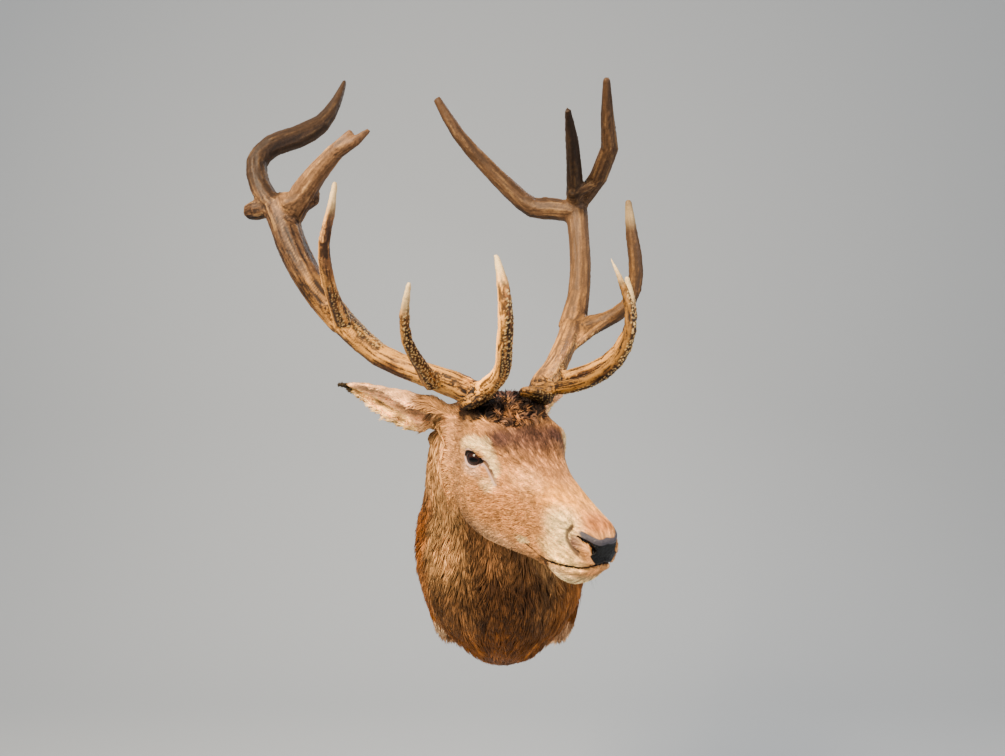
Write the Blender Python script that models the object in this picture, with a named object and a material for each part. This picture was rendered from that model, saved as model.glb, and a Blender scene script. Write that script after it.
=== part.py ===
"""A life-size red deer stag, head and neck, as a taxidermist mounts it on a wall.

Metres, +Z up. The wall is the plane y = 0 and the mount stands out from it towards -Y.
The origin is the middle of the back board's rear face, which hangs against the wall.
The animal's right side is at -X. The head is modelled straight, in millimetres, in a frame
of its own: X towards the nose, Y to the animal's left, Z to the crown, with the origin
midway between the eyes. It is then turned to the animal's left and dropped a little.
"""

import math

import bmesh
import bpy
import numpy as np
from mathutils import Matrix, Vector

MM = 0.001
FIT = 0.3 * MM  # the gap left between neighbouring pieces

# Pose of the head on the neck.
HEAD_TURN = 29.0
HEAD_DROP = 12.0
HEAD_LEAN = 1.5
EYE_MIDPOINT = Vector((0.028, -0.441, 0.215))

BOARD_THICKNESS = 18 * MM
HIDE_TURN_IN = 2 * MM  # how far the hide's rear edge stands off the wall


def head_frame():
    """The matrix from the straight head's frame, in metres, to the mount's."""
    turn = Matrix.Rotation(math.radians(HEAD_TURN - 90), 4, "Z")
    drop = Matrix.Rotation(math.radians(HEAD_DROP), 4, "Y")
    lean = Matrix.Rotation(math.radians(HEAD_LEAN), 4, "X")
    return Matrix.Translation(EYE_MIDPOINT) @ turn @ drop @ lean


HEAD = head_frame()


def on_head(x, y, z):
    """A place given on the straight head in millimetres, in the mount's frame."""
    return HEAD @ Vector((x * MM, y * MM, z * MM))


# ---------------------------------------------------------------- shared tools


def smooth_through(points, steps, closed=False):
    """Points on a smooth curve through the given ones, with `steps` to each span."""
    p = np.array(points, float)
    count = len(p)
    ahead = np.roll(p, -1, 0) - p
    length = np.maximum(np.linalg.norm(ahead, axis=1), 1e-9)
    speed = ahead / length[:, None]
    before, length_before = np.roll(speed, 1, 0), np.roll(length, 1)
    share = (length_before / (length + length_before))[:, None]
    tangent = speed * share + before * (1 - share)
    if not closed:
        tangent[0], tangent[-1] = speed[0], speed[-2]
    made = []
    for i in range(count if closed else count - 1):
        j = (i + 1) % count
        for t in np.linspace(0, 1, steps, endpoint=False):
            a, b = 2 * t**3 - 3 * t**2 + 1, t**3 - 2 * t**2 + t
            c, d = -2 * t**3 + 3 * t**2, t**3 - t**2
            made.append(a * p[i] + c * p[j] + length[i] * (b * tangent[i] + d * tangent[j]))
    if not closed:
        made.append(p[-1])
    return np.array(made)


def with_fixed_facets(bm):
    """Splits the skew quads the same way every time, so a cutter's facets match a piece's."""
    bmesh.ops.triangulate(bm, faces=bm.faces, quad_method="FIXED")
    bmesh.ops.recalc_face_normals(bm, faces=bm.faces)
    return bm


def closed_loft(rings):
    """A mesh through rings of equal count, closed by a fan on each end ring."""
    bm = bmesh.new()
    rows = [[bm.verts.new(p) for p in ring] for ring in rings]
    for near, far in zip(rows, rows[1:]):
        for i in range(len(near)):
            j = (i + 1) % len(near)
            bm.faces.new((near[i], near[j], far[j], far[i]))
    for row in (rows[0], rows[-1]):
        pole = bm.verts.new(sum((v.co for v in row), Vector()) / len(row))
        for i in range(len(row)):
            bm.faces.new((row[i], row[(i + 1) % len(row)], pole))
    return with_fixed_facets(bm)


def closed_leaf(outer, inner):
    """A mesh from two matching grids of points, joined all round their edges."""
    bm = bmesh.new()
    grids = [[[bm.verts.new(p) for p in row] for row in grid] for grid in (outer, inner)]
    last, end = len(outer) - 1, len(outer[0]) - 1
    for grid in grids:
        for i in range(last):
            for j in range(end):
                corners = grid[i][j], grid[i + 1][j], grid[i + 1][j + 1], grid[i][j + 1]
                bm.faces.new(corners)
    edge = [(i, 0) for i in range(last)] + [(last, j) for j in range(end)]
    edge += [(i, end) for i in range(last, 0, -1)] + [(0, j) for j in range(end, 0, -1)]
    for (i, j), (k, m) in zip(edge, edge[1:] + edge[:1]):
        bm.faces.new((grids[0][i][j], grids[0][k][m], grids[1][k][m], grids[1][i][j]))
    return with_fixed_facets(bm)


def grow(bm, by):
    """Moves every vertex out along its normal, to make a cutter that leaves a gap."""
    bm.normal_update()
    for v in bm.verts:
        v.co += v.normal * by


def add_object(name, bm, material=None):
    mesh = bpy.data.meshes.new(name)
    bm.to_mesh(mesh)
    bm.free()
    made = bpy.data.objects.new(name, mesh)
    bpy.context.scene.collection.objects.link(made)
    if material:
        mesh.materials.append(material)
        mesh.shade_smooth()
        mesh.set_sharp_from_angle(angle=math.radians(50))
    else:
        made.hide_render = True
        made.display_type = "WIRE"
    return made


def boolean(target, tool, operation):
    step = target.modifiers.new(f"{operation.lower()} {tool.name}", "BOOLEAN")
    step.object = tool
    step.operation = operation


def finish(name, colour, roughness, metallic=0.0):
    material = bpy.data.materials.new(name)
    material.use_nodes = True
    shader = material.node_tree.nodes["Principled BSDF"]
    shader.inputs["Base Color"].default_value = (*colour, 1)
    shader.inputs["Roughness"].default_value = roughness
    shader.inputs["Metallic"].default_value = metallic
    return material


# ----------------------------------------------------------------------- head

# The head's sections, nose to nape. Each gives the midline of the face (x, z), the brow
# line, the cheek line and the jaw line (x, half width, z), and the midline below (x, z).
HEAD_SECTIONS = {
    "nose tip": ((251, -45), (251, 9, -46), (250, 14, -58), (247, 9, -74), (246, -80)),
    "nose pad": ((237, -30), (236, 19, -33), (234, 28, -57), (227, 24, -98), (225, -108)),
    "nostrils": ((214, -23), (211, 23, -27), (205, 34, -58), (200, 26, -117), (199, -128)),
    "muzzle": ((180, -14), (178, 23, -19), (172, 38, -60), (166, 26, -123), (166, -132)),
    "bars": ((140, -3), (138, 25, -9), (132, 39, -54), (128, 27, -126), (128, -134)),
    "face": ((95, 13), (94, 31, 5), (90, 48, -42), (84, 33, -132), (84, -139)),
    "tear pits": ((48, 33), (48, 48, 24), (43, 66, -32), (38, 42, -139), (37, -147)),
    "eyes": ((2, 54), (2, 74, 38), (-8, 82, -26), (-12, 46, -146), (-12, -155)),
    "brows": ((-36, 70), (-36, 80, 48), (-50, 82, -28), (-56, 50, -143), (-56, -153)),
    "pedicles": ((-74, 84), (-76, 74, 62), (-90, 80, -22), (-90, 50, -124), (-90, -134)),
    "crown": ((-114, 82), (-120, 70, 56), (-132, 78, -14), (-122, 50, -98), (-122, -106)),
    "nape": ((-156, 58), (-160, 54, 36), (-164, 62, -12), (-152, 42, -66), (-152, -70)),
}
SPAN_STEPS = 2  # stations from one section to the next
RIM_STEPS = 3  # points from one line of a section to the next

# Local forms: centre on the left side, reach and push, in millimetres.
HEAD_FORMS = {
    "brow ridge": ((10, 84, 25), 26, (3, 14, 3)),
    "orbit's rear rim": ((-32, 86, 2), 22, (0, 7, 0)),
    "temple hollow": ((-58, 84, 16), 24, (0, -4, 0)),
    "tear pit": ((38, 62, -10), 20, (0, -4, 0)),
    "cheekbone": ((14, 76, -36), 30, (0, 4, 0)),
    "masseter": ((-30, 74, -84), 38, (0, 4, 0)),
    "eye hollow": ((8, 80, -1), 18, (0, -9, 0)),
    "bar hollow": ((122, 44, -76), 34, (0, -3, 0)),
    "nostril wing": ((214, 34, -52), 15, (-1, 3, 0)),
    "upper lip": ((185, 40, -86), 26, (0, 3, 0)),
    "pedicle": ((-62, 56, 78), 24, (0, 5, 4)),
    "ear root": ((-132, 82, 34), 28, (-4, 10, 4)),
}


def section_loop(section):
    """The closed outline of one section: 8 named points, joined smoothly."""
    crown, brow, cheek, jaw, chin = section
    left = [brow, cheek, jaw]
    right = [(x, -y, z) for x, y, z in reversed(left)]
    around = [(crown[0], 0, crown[1]), *left, (chin[0], 0, chin[1]), *right]
    return smooth_through(around, RIM_STEPS, closed=True)


def swell(point):
    """The point moved by every local form that reaches it."""
    x, y, z = point
    side = 1 if y >= 0 else -1
    moved = np.array(point, float)
    for (cx, cy, cz), reach, (px, py, pz) in HEAD_FORMS.values():
        away = ((x - cx) ** 2 + (abs(y) - cy) ** 2 + (z - cz) ** 2) / reach**2
        weight = math.exp(-away)
        moved += weight * np.array((px, side * py, pz))
    return moved


def head_form():
    """The whole head with its mouth shut, from nose to nape."""
    loops = np.array([section_loop(s) for s in HEAD_SECTIONS.values()])
    columns = [smooth_through(loops[:, i], SPAN_STEPS) for i in range(loops.shape[1])]
    rings = np.stack(columns, 1)
    return closed_loft([[on_head(*swell(p)) for p in ring] for ring in rings])


# The mouth line, seen from the side: it rises a little from the lips to the corner.
MOUTH_LINE = ((265, -84), (240, -85), (218, -92), (185, -104), (150, -111), (118, -106))
JAW_PARTING = 118  # the lower jaw's front length ends below the corner of the mouth


def below_mouth_form():
    """A wedge that takes in the lower lip and chin, for parting them from the head."""
    bm = bmesh.new()
    depth = [(JAW_PARTING, -170), (265, -170)]
    outline = list(MOUTH_LINE) + depth
    rows = [[bm.verts.new(on_head(x, side, z)) for x, z in outline] for side in (-70, 70)]
    bm.faces.new(rows[0])
    bm.faces.new(list(reversed(rows[1])))
    for i in range(len(outline)):
        j = (i + 1) % len(outline)
        bm.faces.new((rows[0][j], rows[0][i], rows[1][i], rows[1][j]))
    bmesh.ops.triangulate(bm, faces=[f for f in bm.faces if len(f.verts) > 4])
    bmesh.ops.recalc_face_normals(bm, faces=bm.faces)
    return bm


# The bare pad between the nostrils: an ovoid that cuts into the front of the muzzle.
PAD_CENTRE = (246, 0, -58)
PAD_RADII = (17, 26, 27)


def ovoid(centre, radii, segments=12, rings=8):
    """An ellipsoid on the straight head, with its poles along X."""
    bm = bmesh.new()
    bmesh.ops.create_uvsphere(bm, u_segments=segments, v_segments=rings, radius=1)
    upright = Matrix.Rotation(math.radians(90), 4, "Y")
    for v in bm.verts:
        x, y, z = upright @ v.co
        v.co = on_head(*(c + r * n for c, r, n in zip(centre, radii, (x, y, z))))
    bmesh.ops.recalc_face_normals(bm, faces=bm.faces)
    return bm


EYE_CENTRE = (-12, 70, -1)
EYE_RADIUS = 19.5


# ----------------------------------------------------------------------- ears

EAR_ROOT = (-114, 58, 50)
EAR_LENGTH = 264
EAR_AIMS = {"right": (-0.80, 0.595, -0.02), "left": (-0.58, 0.81, -0.02)}  # y outwards
EAR_OPENS = (0.70, 0.38, -0.46)
EAR_THICKNESS = 7
EAR_HALF_WIDTHS = (
    (0.0, 22), (0.2, 28), (0.34, 42), (0.5, 46), (0.68, 36), (0.84, 19), (0.95, 9), (1.0, 4),
)
EAR_CUPPING = ((0.0, 280), (0.22, 220), (0.4, 150), (0.7, 110), (1.0, 60))  # degrees of arc
EAR_STATIONS = 9
EAR_ACROSS = 6


def interpolate(table, at):
    return float(np.interp(at, [t for t, _ in table], [v for _, v in table]))


def ear_form(word, side):
    """A cupped leaf: arcs of cartilage from edge to edge, from the root to the tip."""
    aim = Vector(EAR_AIMS[word]).normalized()
    opens = Vector(EAR_OPENS)
    opens = (opens - aim * opens.dot(aim)).normalized()
    across = aim.cross(opens)
    shells = []
    for inset in (0, 1):
        grid = []
        for t in np.linspace(0, 1, EAR_STATIONS + 1):
            half = math.radians(interpolate(EAR_CUPPING, t)) / 2
            radius = interpolate(EAR_HALF_WIDTHS, t) / math.sin(min(half, math.pi / 2))
            shell = radius - inset * EAR_THICKNESS * (1 - 0.5 * t)
            droop = 14 * math.sin(math.pi * t / 2) ** 2
            base = Vector(EAR_ROOT) + aim * (EAR_LENGTH * t) - opens * droop
            row = []
            for angle in np.linspace(-half, half, EAR_ACROSS + 1):
                bow = opens * (radius - shell * math.cos(angle))
                p = base + bow + across * (shell * math.sin(angle))
                row.append(on_head(p.x, side * p.y, p.z))
            grid.append(row)
        shells.append(grid)
    return closed_leaf(*shells)


# -------------------------------------------------------------- neck and chest

# Sections of the neck, head to wall: nape, throat, half width, and how much wider the
# section is towards the nape (+) or the throat (-). Metres, in the mount's frame.
NECK_SECTIONS = {
    "in the head": (on_head(-100, 0, 60), on_head(-62, 0, -108), 0.062, 0.06),
    "throat latch": ((-0.042, -0.310, 0.292), (-0.030, -0.336, 0.092), 0.090, 0.04),
    "upper neck": ((-0.036, -0.232, 0.256), (-0.024, -0.322, -0.006), 0.117, 0.0),
    "middle": ((-0.020, -0.150, 0.212), (-0.012, -0.310, -0.105), 0.148, -0.02),
    "brisket": ((-0.005, -0.078, 0.180), (0.002, -0.250, -0.192), 0.171, 0.08),
    "chest": ((0.002, -0.032, 0.164), (0.004, -0.140, -0.248), 0.164, 0.24),
    "wall": ((0.002, -HIDE_TURN_IN, 0.158), (0.004, -HIDE_TURN_IN, -0.228), 0.158, 0.26),
}
NECK_SPAN_STEPS = 3
NECK_RIM = 24
ROUNDNESS = 2.1  # exponent of the section's superellipse: 2 is an ellipse


def neck_rings():
    sections = NECK_SECTIONS.values()
    nape = smooth_through([s[0] for s in sections], NECK_SPAN_STEPS)
    throat = smooth_through([s[1] for s in sections], NECK_SPAN_STEPS)
    widths = smooth_through([(s[2], s[3], 0) for s in sections], NECK_SPAN_STEPS)
    middle = (nape + throat) / 2
    along = np.gradient(middle, axis=0)
    along[-NECK_SPAN_STEPS:] = (0, 1, 0)
    rings = []
    for top, low, centre, ahead, (half, lean, _) in zip(nape, throat, middle, along, widths):
        rise = (top - low) / 2
        side = np.cross(ahead, rise)
        side *= half / np.linalg.norm(side)
        ring = []
        for angle in np.arange(NECK_RIM) * (2 * math.pi / NECK_RIM):
            c, s = math.cos(angle), math.sin(angle)
            up = math.copysign(abs(c) ** (2 / ROUNDNESS), c)
            out = math.copysign(abs(s) ** (2 / ROUNDNESS), s) * (1 + lean * up)
            ring.append(Vector(centre + rise * up + side * out))
        rings.append(ring)
    return rings


# The stumps of the shoulders, low on each side by the wall.
SHOULDER_MIDDLE = (0.116, -0.052)
SHOULDER_LEVELS = (  # height, half width, half depth, shift outwards
    (-0.060, 0.022, 0.022, 0.006),
    (-0.105, 0.038, 0.040, 0.008),
    (-0.155, 0.038, 0.048, 0.006),
    (-0.200, 0.031, 0.046, 0.000),
    (-0.228, 0.020, 0.036, -0.006),
)
SHOULDER_SIDES = 12


def shoulder_form(side):
    rings = []
    for height, wide, deep, shift in SHOULDER_LEVELS:
        x, y = SHOULDER_MIDDLE
        turns = (2 * math.pi * i / SHOULDER_SIDES for i in range(SHOULDER_SIDES))
        ring = [
            Vector((side * (x + shift + wide * math.cos(a)), y + deep * math.sin(a), height))
            for a in turns
        ]
        rings.append(ring)
    columns = [smooth_through([r[i] for r in rings], 2) for i in range(SHOULDER_SIDES)]
    return closed_loft([[Vector(p) for p in row] for row in np.stack(columns, 1)])


# --------------------------------------------------------- board and its hanger

BOARD_INSET = 14 * MM


def board_form(growth=0.0):
    """The plywood board: the wall section's outline, drawn in and extruded."""
    outline = neck_rings()[-1]
    middle = sum(outline, Vector()) / len(outline)
    bm = bmesh.new()
    rows = []
    for y in (-BOARD_THICKNESS - growth, growth * 20):
        row = []
        for p in outline:
            away = p - middle
            away.y = 0
            place = middle + away * (1 - (BOARD_INSET - growth) / away.length)
            row.append(bm.verts.new((place.x, y, place.z)))
        rows.append(row)
    bm.faces.new(rows[0])
    bm.faces.new(list(reversed(rows[1])))
    for i in range(NECK_RIM):
        j = (i + 1) % NECK_RIM
        bm.faces.new((rows[0][j], rows[0][i], rows[1][i], rows[1][j]))
    bmesh.ops.recalc_face_normals(bm, faces=bm.faces)
    return bm


PLATE_SIZE = (0.034, 0.0025, 0.062)
PLATE_MIDDLE = (0.0, -0.0005 - 0.00125, 0.090)
KEYHOLE_RADIUS = 5 * MM
KEYHOLE_SLOT = 2.6 * MM
POCKET_DEPTH = 0.011


def box_form(middle, size):
    bm = bmesh.new()
    bmesh.ops.create_cube(bm, size=1)
    for v in bm.verts:
        v.co = Vector(c + n * s for c, n, s in zip(middle, v.co, size))
    return bm


def keyhole_form():
    """The hole in the hanger plate: a round entry with a narrow slot above it."""
    bm = bmesh.new()
    x, y, z = PLATE_MIDDLE
    entry = (math.radians(a) for a in range(120, 421, 30))
    outline = [(KEYHOLE_RADIUS * math.cos(a), -0.008 + KEYHOLE_RADIUS * math.sin(a)) for a in entry]
    top = (math.radians(a) for a in range(0, 181, 30))
    outline += [(KEYHOLE_SLOT * math.cos(a), 0.010 + KEYHOLE_SLOT * math.sin(a)) for a in top]
    rows = [[bm.verts.new((x + px, y + d, z + pz)) for px, pz in outline] for d in (-0.01, 0.01)]
    bm.faces.new(rows[0])
    bm.faces.new(list(reversed(rows[1])))
    for i in range(len(outline)):
        j = (i + 1) % len(outline)
        bm.faces.new((rows[0][j], rows[0][i], rows[1][i], rows[1][j]))
    bmesh.ops.recalc_face_normals(bm, faces=bm.faces)
    return bm


# --------------------------------------------------------------------- antlers

# Each length runs along knots on the straight head (x, y, z, radius), in millimetres,
# with y positive outwards on both sides. Lengths after the first grow from their parent.
RIGHT_ANTLER = {
    "beam_lower": (
        (-57, 57, 91, 15), (-70, 72, 99, 24), (-94, 98, 108, 22),
        (-130, 134, 118, 20), (-175, 186, 137, 20), (-224, 236, 184, 22),
    ),
    "beam_upper": (
        (-224, 236, 184, 22), (-256, 264, 222, 23), (-290, 287, 266, 24), (-323, 303, 312, 25),
        (-350, 312, 352, 25), (-366, 322, 374, 20),
    ),
    "brow_tine": (
        (-62, 58, 98, 17), (-20, 58, 118, 14), (36, 66, 150, 12), (80, 88, 198, 11),
        (97, 100, 243, 10), (90, 105, 284, 8), (66, 108, 324, 3),
    ),
    "bez_tine": (
        (-94, 112, 106, 14), (-68, 150, 142, 10), (-42, 190, 184, 8), (-22, 208, 228, 7),
        (-10, 210, 274, 3),
    ),
    "trez_tine": (
        (-214, 232, 182, 14), (-180, 266, 232, 10), (-150, 290, 278, 9), (-136, 299, 322, 8),
        (-134, 292, 366, 6), (-139, 286, 410, 3),
    ),
    "top_tine": (
        (-356, 316, 360, 22), (-394, 341, 408, 17), (-420, 344, 450, 17), (-434, 318, 482, 18),
        (-444, 272, 504, 19), (-456, 224, 534, 15), (-474, 190, 578, 9), (-490, 168, 620, 3),
    ),
    "palm": (
        (-344, 306, 352, 20), (-318, 290, 398, 19), (-282, 270, 440, 14), (-254, 248, 474, 10),
        (-246, 231, 500, 4),
    ),
    "palm_point": (
        (-252, 248, 466, 8), (-236, 226, 486, 7), (-231, 206, 505, 3),
    ),
    "rear_knob": (
        (-348, 312, 364, 13), (-362, 326, 366, 12), (-382, 344, 361, 13), (-396, 356, 356, 9),
    ),
    "inner_knob": (
        (-332, 294, 374, 12), (-326, 282, 380, 13), (-321, 273, 388, 13), (-316, 269, 404, 8),
    ),
}
LEFT_ANTLER = {
    "beam_lower": (
        (-57, 59, 91, 15), (-70, 76, 99, 24), (-94, 103, 110, 22),
        (-130, 138, 124, 20), (-176, 182, 148, 20), (-226, 230, 180, 24),
    ),
    "beam_upper": (
        (-226, 230, 180, 24), (-255, 260, 240, 18), (-287, 280, 302, 17), (-321, 292, 367, 17),
        (-345, 298, 412, 19), (-360, 304, 440, 18),
    ),
    "brow_tine": (
        (-60, 68, 100, 17), (-14, 78, 112, 13), (36, 92, 134, 13), (86, 105, 176, 12),
        (103, 112, 229, 11), (90, 106, 284, 8), (63, 94, 334, 3),
    ),
    "bez_tine": (
        (-94, 116, 106, 14), (-57, 164, 134, 11), (-25, 200, 178, 9), (-8, 214, 236, 8),
        (-12, 202, 298, 3),
    ),
    "trez_tine": (
        (-222, 236, 184, 18), (-178, 268, 210, 12), (-140, 300, 248, 10), (-130, 303, 308, 10),
        (-136, 290, 370, 8), (-141, 278, 432, 3),
    ),
    "top_tine": (
        (-346, 292, 420, 16), (-378, 262, 423, 16), (-410, 232, 423, 15), (-440, 192, 455, 13),
        (-470, 136, 506, 10), (-494, 80, 558, 7), (-510, 34, 618, 3),
    ),
    "palm": (
        (-348, 296, 424, 17), (-308, 258, 490, 13), (-262, 216, 540, 9), (-220, 174, 586, 3),
    ),
    "palm_point": (
        (-342, 304, 440, 15), (-298, 310, 486, 14), (-256, 302, 540, 13), (-230, 270, 598, 8),
        (-205, 244, 652, 3),
    ),
}
BURR_CENTRE = (-55, 55, 85)
BURR_AXIS = (-0.36, 0.40, 0.84)
BURR_PROFILE = ((-9, 23), (-5, 30), (0, 34), (5, 30), (9, 23))  # along the axis, radius
BURR_SIDES = 14
BEAM_SIDES = 11
TINE_SIDES = 8
TINE_STEPS = 2


def tube_form(knots, side, sides, steps, growth=0.0):
    """A tapering round length along the knots, rounded over at a thin end."""
    places = smooth_through([k[:3] for k in knots], steps)
    radii = smooth_through([(k[3], 0, 0) for k in knots], steps)[:, 0] + growth / MM
    along = np.gradient(places, axis=0)
    along /= np.linalg.norm(along, axis=1)[:, None]
    across = np.cross(along[0], (0.3, 0.2, 1.0))
    rings = []
    for place, ahead, radius in zip(places, along, radii):
        across -= ahead * across.dot(ahead)
        across /= np.linalg.norm(across)
        third = np.cross(ahead, across)
        ring = []
        for i in range(sides):
            angle = 2 * math.pi * i / sides
            p = place + radius * (across * math.cos(angle) + third * math.sin(angle))
            ring.append(on_head(p[0], side * p[1], p[2]))
        rings.append(ring)
    return closed_loft(rings)


def burr_form(side):
    """The coronet: a low disc round the foot of the antler, with a knobbed edge."""
    axis = Vector(BURR_AXIS).normalized()
    across = axis.orthogonal().normalized()
    third = axis.cross(across)
    rings = []
    for along, radius in BURR_PROFILE:
        ring = []
        for i in range(BURR_SIDES):
            angle = 2 * math.pi * i / BURR_SIDES
            knob = 1 + (0.04 if i % 2 else -0.03) * (radius > 30)
            out = (across * math.cos(angle) + third * math.sin(angle)) * (radius * knob)
            p = Vector(BURR_CENTRE) + axis * along + out
            ring.append(on_head(p.x, side * p.y, p.z))
        rings.append(ring)
    return closed_loft(rings)


# ------------------------------------------------------------------- assembly


def clear_scene():
    for old in list(bpy.data.objects):
        bpy.data.objects.remove(old)


def cutter(name, bm, growth=FIT):
    """A hidden tool, grown by the gap that it leaves."""
    grow(bm, growth)
    return add_object(f"cut_{name}", bm)


def build_head(hide, pad_skin, glass):
    whole = cutter("head", head_form())
    jaw_tool = cutter("jaw_wedge", below_mouth_form())
    pad_tool = cutter("pad", ovoid(PAD_CENTRE, PAD_RADII))
    head = add_object("head", head_form(), hide)
    boolean(head, jaw_tool, "DIFFERENCE")
    boolean(head, pad_tool, "DIFFERENCE")
    jaw = add_object("lower_jaw", head_form(), hide)
    boolean(jaw, add_object("keep_jaw", below_mouth_form()), "INTERSECT")
    boolean(jaw, pad_tool, "DIFFERENCE")
    pad = add_object("nose_pad", head_form(), pad_skin)
    boolean(pad, add_object("keep_pad", ovoid(PAD_CENTRE, PAD_RADII)), "INTERSECT")
    boolean(pad, jaw_tool, "DIFFERENCE")
    for side, word in ((-1, "right"), (1, "left")):
        x, y, z = EYE_CENTRE
        place, ball = (x, side * y, z), (EYE_RADIUS,) * 3
        add_object(f"eye_{word}", ovoid(place, ball), glass)
        boolean(head, cutter(f"eye_{word}", ovoid(place, ball)), "DIFFERENCE")
        ear = add_object(f"ear_{word}", ear_form(word, side), hide)
        boolean(ear, whole, "DIFFERENCE")
    return whole


def build_neck(whole_head, hide, plywood, steel):
    """The neck in two lengths, the shoulder stumps, and the board that carries them."""
    board_tool = cutter("board", board_form(FIT), growth=0.0)
    parting = cutter("neck_parting", box_form((0, -0.15, -0.300), (1, 1, 0.58)), growth=0.0)
    keep = cutter("keep_chest", box_form((0, -0.15, -0.300 - FIT), (1.1, 1.1, 0.58)), growth=0.0)
    neck = add_object("neck", closed_loft(neck_rings()), hide)
    chest = add_object("chest", closed_loft(neck_rings()), hide)
    boolean(chest, keep, "INTERSECT")
    boolean(neck, parting, "DIFFERENCE")
    whole_neck = cutter("neck", closed_loft(neck_rings()))
    for piece in (neck, chest):
        boolean(piece, whole_head, "DIFFERENCE")
        boolean(piece, board_tool, "DIFFERENCE")
    for side, word in ((-1, "right"), (1, "left")):
        shoulder = add_object(f"shoulder_{word}", shoulder_form(side), hide)
        boolean(shoulder, whole_neck, "DIFFERENCE")
        boolean(shoulder, board_tool, "DIFFERENCE")
    board = add_object("back_board", board_form(), plywood)
    x, y, z = PLATE_MIDDLE
    pocket_size = (PLATE_SIZE[0] + 2 * FIT, PLATE_SIZE[1] + 0.002, PLATE_SIZE[2] + 2 * FIT)
    pocket = box_form((x, y + 0.001 - FIT, z), pocket_size)
    well = box_form((x, -POCKET_DEPTH / 2, z), (0.018, POCKET_DEPTH, 0.040))
    boolean(board, cutter("plate_seat", pocket, growth=0.0), "DIFFERENCE")
    boolean(board, cutter("screw_well", well, growth=0.0), "DIFFERENCE")
    plate = add_object("hanger_plate", box_form(PLATE_MIDDLE, PLATE_SIZE), steel)
    boolean(plate, cutter("keyhole", keyhole_form(), growth=0.0), "DIFFERENCE")


def build_antler(word, side, lengths, whole_head, horn):
    """The beam in two lengths and its tines, each cut back to what it grows from."""
    parents = {
        "beam_upper": ("beam_lower",),
        "brow_tine": ("beam_lower",),
        "bez_tine": ("beam_lower",),
        "trez_tine": ("beam_lower", "beam_upper"),
        "top_tine": ("beam_upper",),
        "palm": ("beam_upper", "top_tine"),
        "palm_point": ("palm", "beam_upper", "top_tine"),
        "rear_knob": ("beam_upper", "top_tine", "palm"),
        "inner_knob": ("beam_upper", "palm"),
    }
    burr = add_object(f"antler_{word}_burr", burr_form(side), horn)
    boolean(burr, whole_head, "DIFFERENCE")
    burr_tool = cutter(f"{word}_burr", burr_form(side))
    tools = {}
    for name, knots in lengths.items():
        beam = name.startswith("beam")
        sides = BEAM_SIDES if beam else TINE_SIDES
        steps = 1 if name.endswith(("point", "knob")) else TINE_STEPS
        node = add_object(f"antler_{word}_{name}", tube_form(knots, side, sides, steps), horn)
        tool = tube_form(knots, side, sides, steps, growth=FIT)
        tools[name] = add_object(f"cut_{word}_{name}", tool)
        if name in ("beam_lower", "brow_tine"):
            boolean(node, whole_head, "DIFFERENCE")
            boolean(node, burr_tool, "DIFFERENCE")
        for parent in parents.get(name, ()):
            boolean(node, tools[parent], "DIFFERENCE")


def main():
    clear_scene()
    hide = finish("hide", (0.40, 0.24, 0.12), 0.85)
    pad_skin = finish("nose_skin", (0.02, 0.02, 0.02), 0.35)
    glass = finish("eye_glass", (0.03, 0.015, 0.01), 0.05)
    horn = finish("antler", (0.22, 0.14, 0.08), 0.55)
    plywood = finish("plywood", (0.55, 0.38, 0.22), 0.7)
    steel = finish("steel", (0.6, 0.6, 0.6), 0.35, metallic=1.0)
    whole_head = build_head(hide, pad_skin, glass)
    build_neck(whole_head, hide, plywood, steel)
    build_antler("right", -1, RIGHT_ANTLER, whole_head, horn)
    build_antler("left", 1, LEFT_ANTLER, whole_head, horn)


main()
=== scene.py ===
"""A red deer stag's head as a taxidermist mounts it: a tanned cape over a carved form,
glass eyes, the stag's own antlers, and a hidden plywood board with its hanging plate.

Metres, +Z up. The wall is the plane y = 0 and the mount stands out from it towards -Y.
The animal's right side is at -X.
"""

import math

import bmesh
import bpy
import numpy as np
from mathutils import Matrix, Vector
from mathutils.bvhtree import BVHTree
from mathutils.kdtree import KDTree


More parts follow.
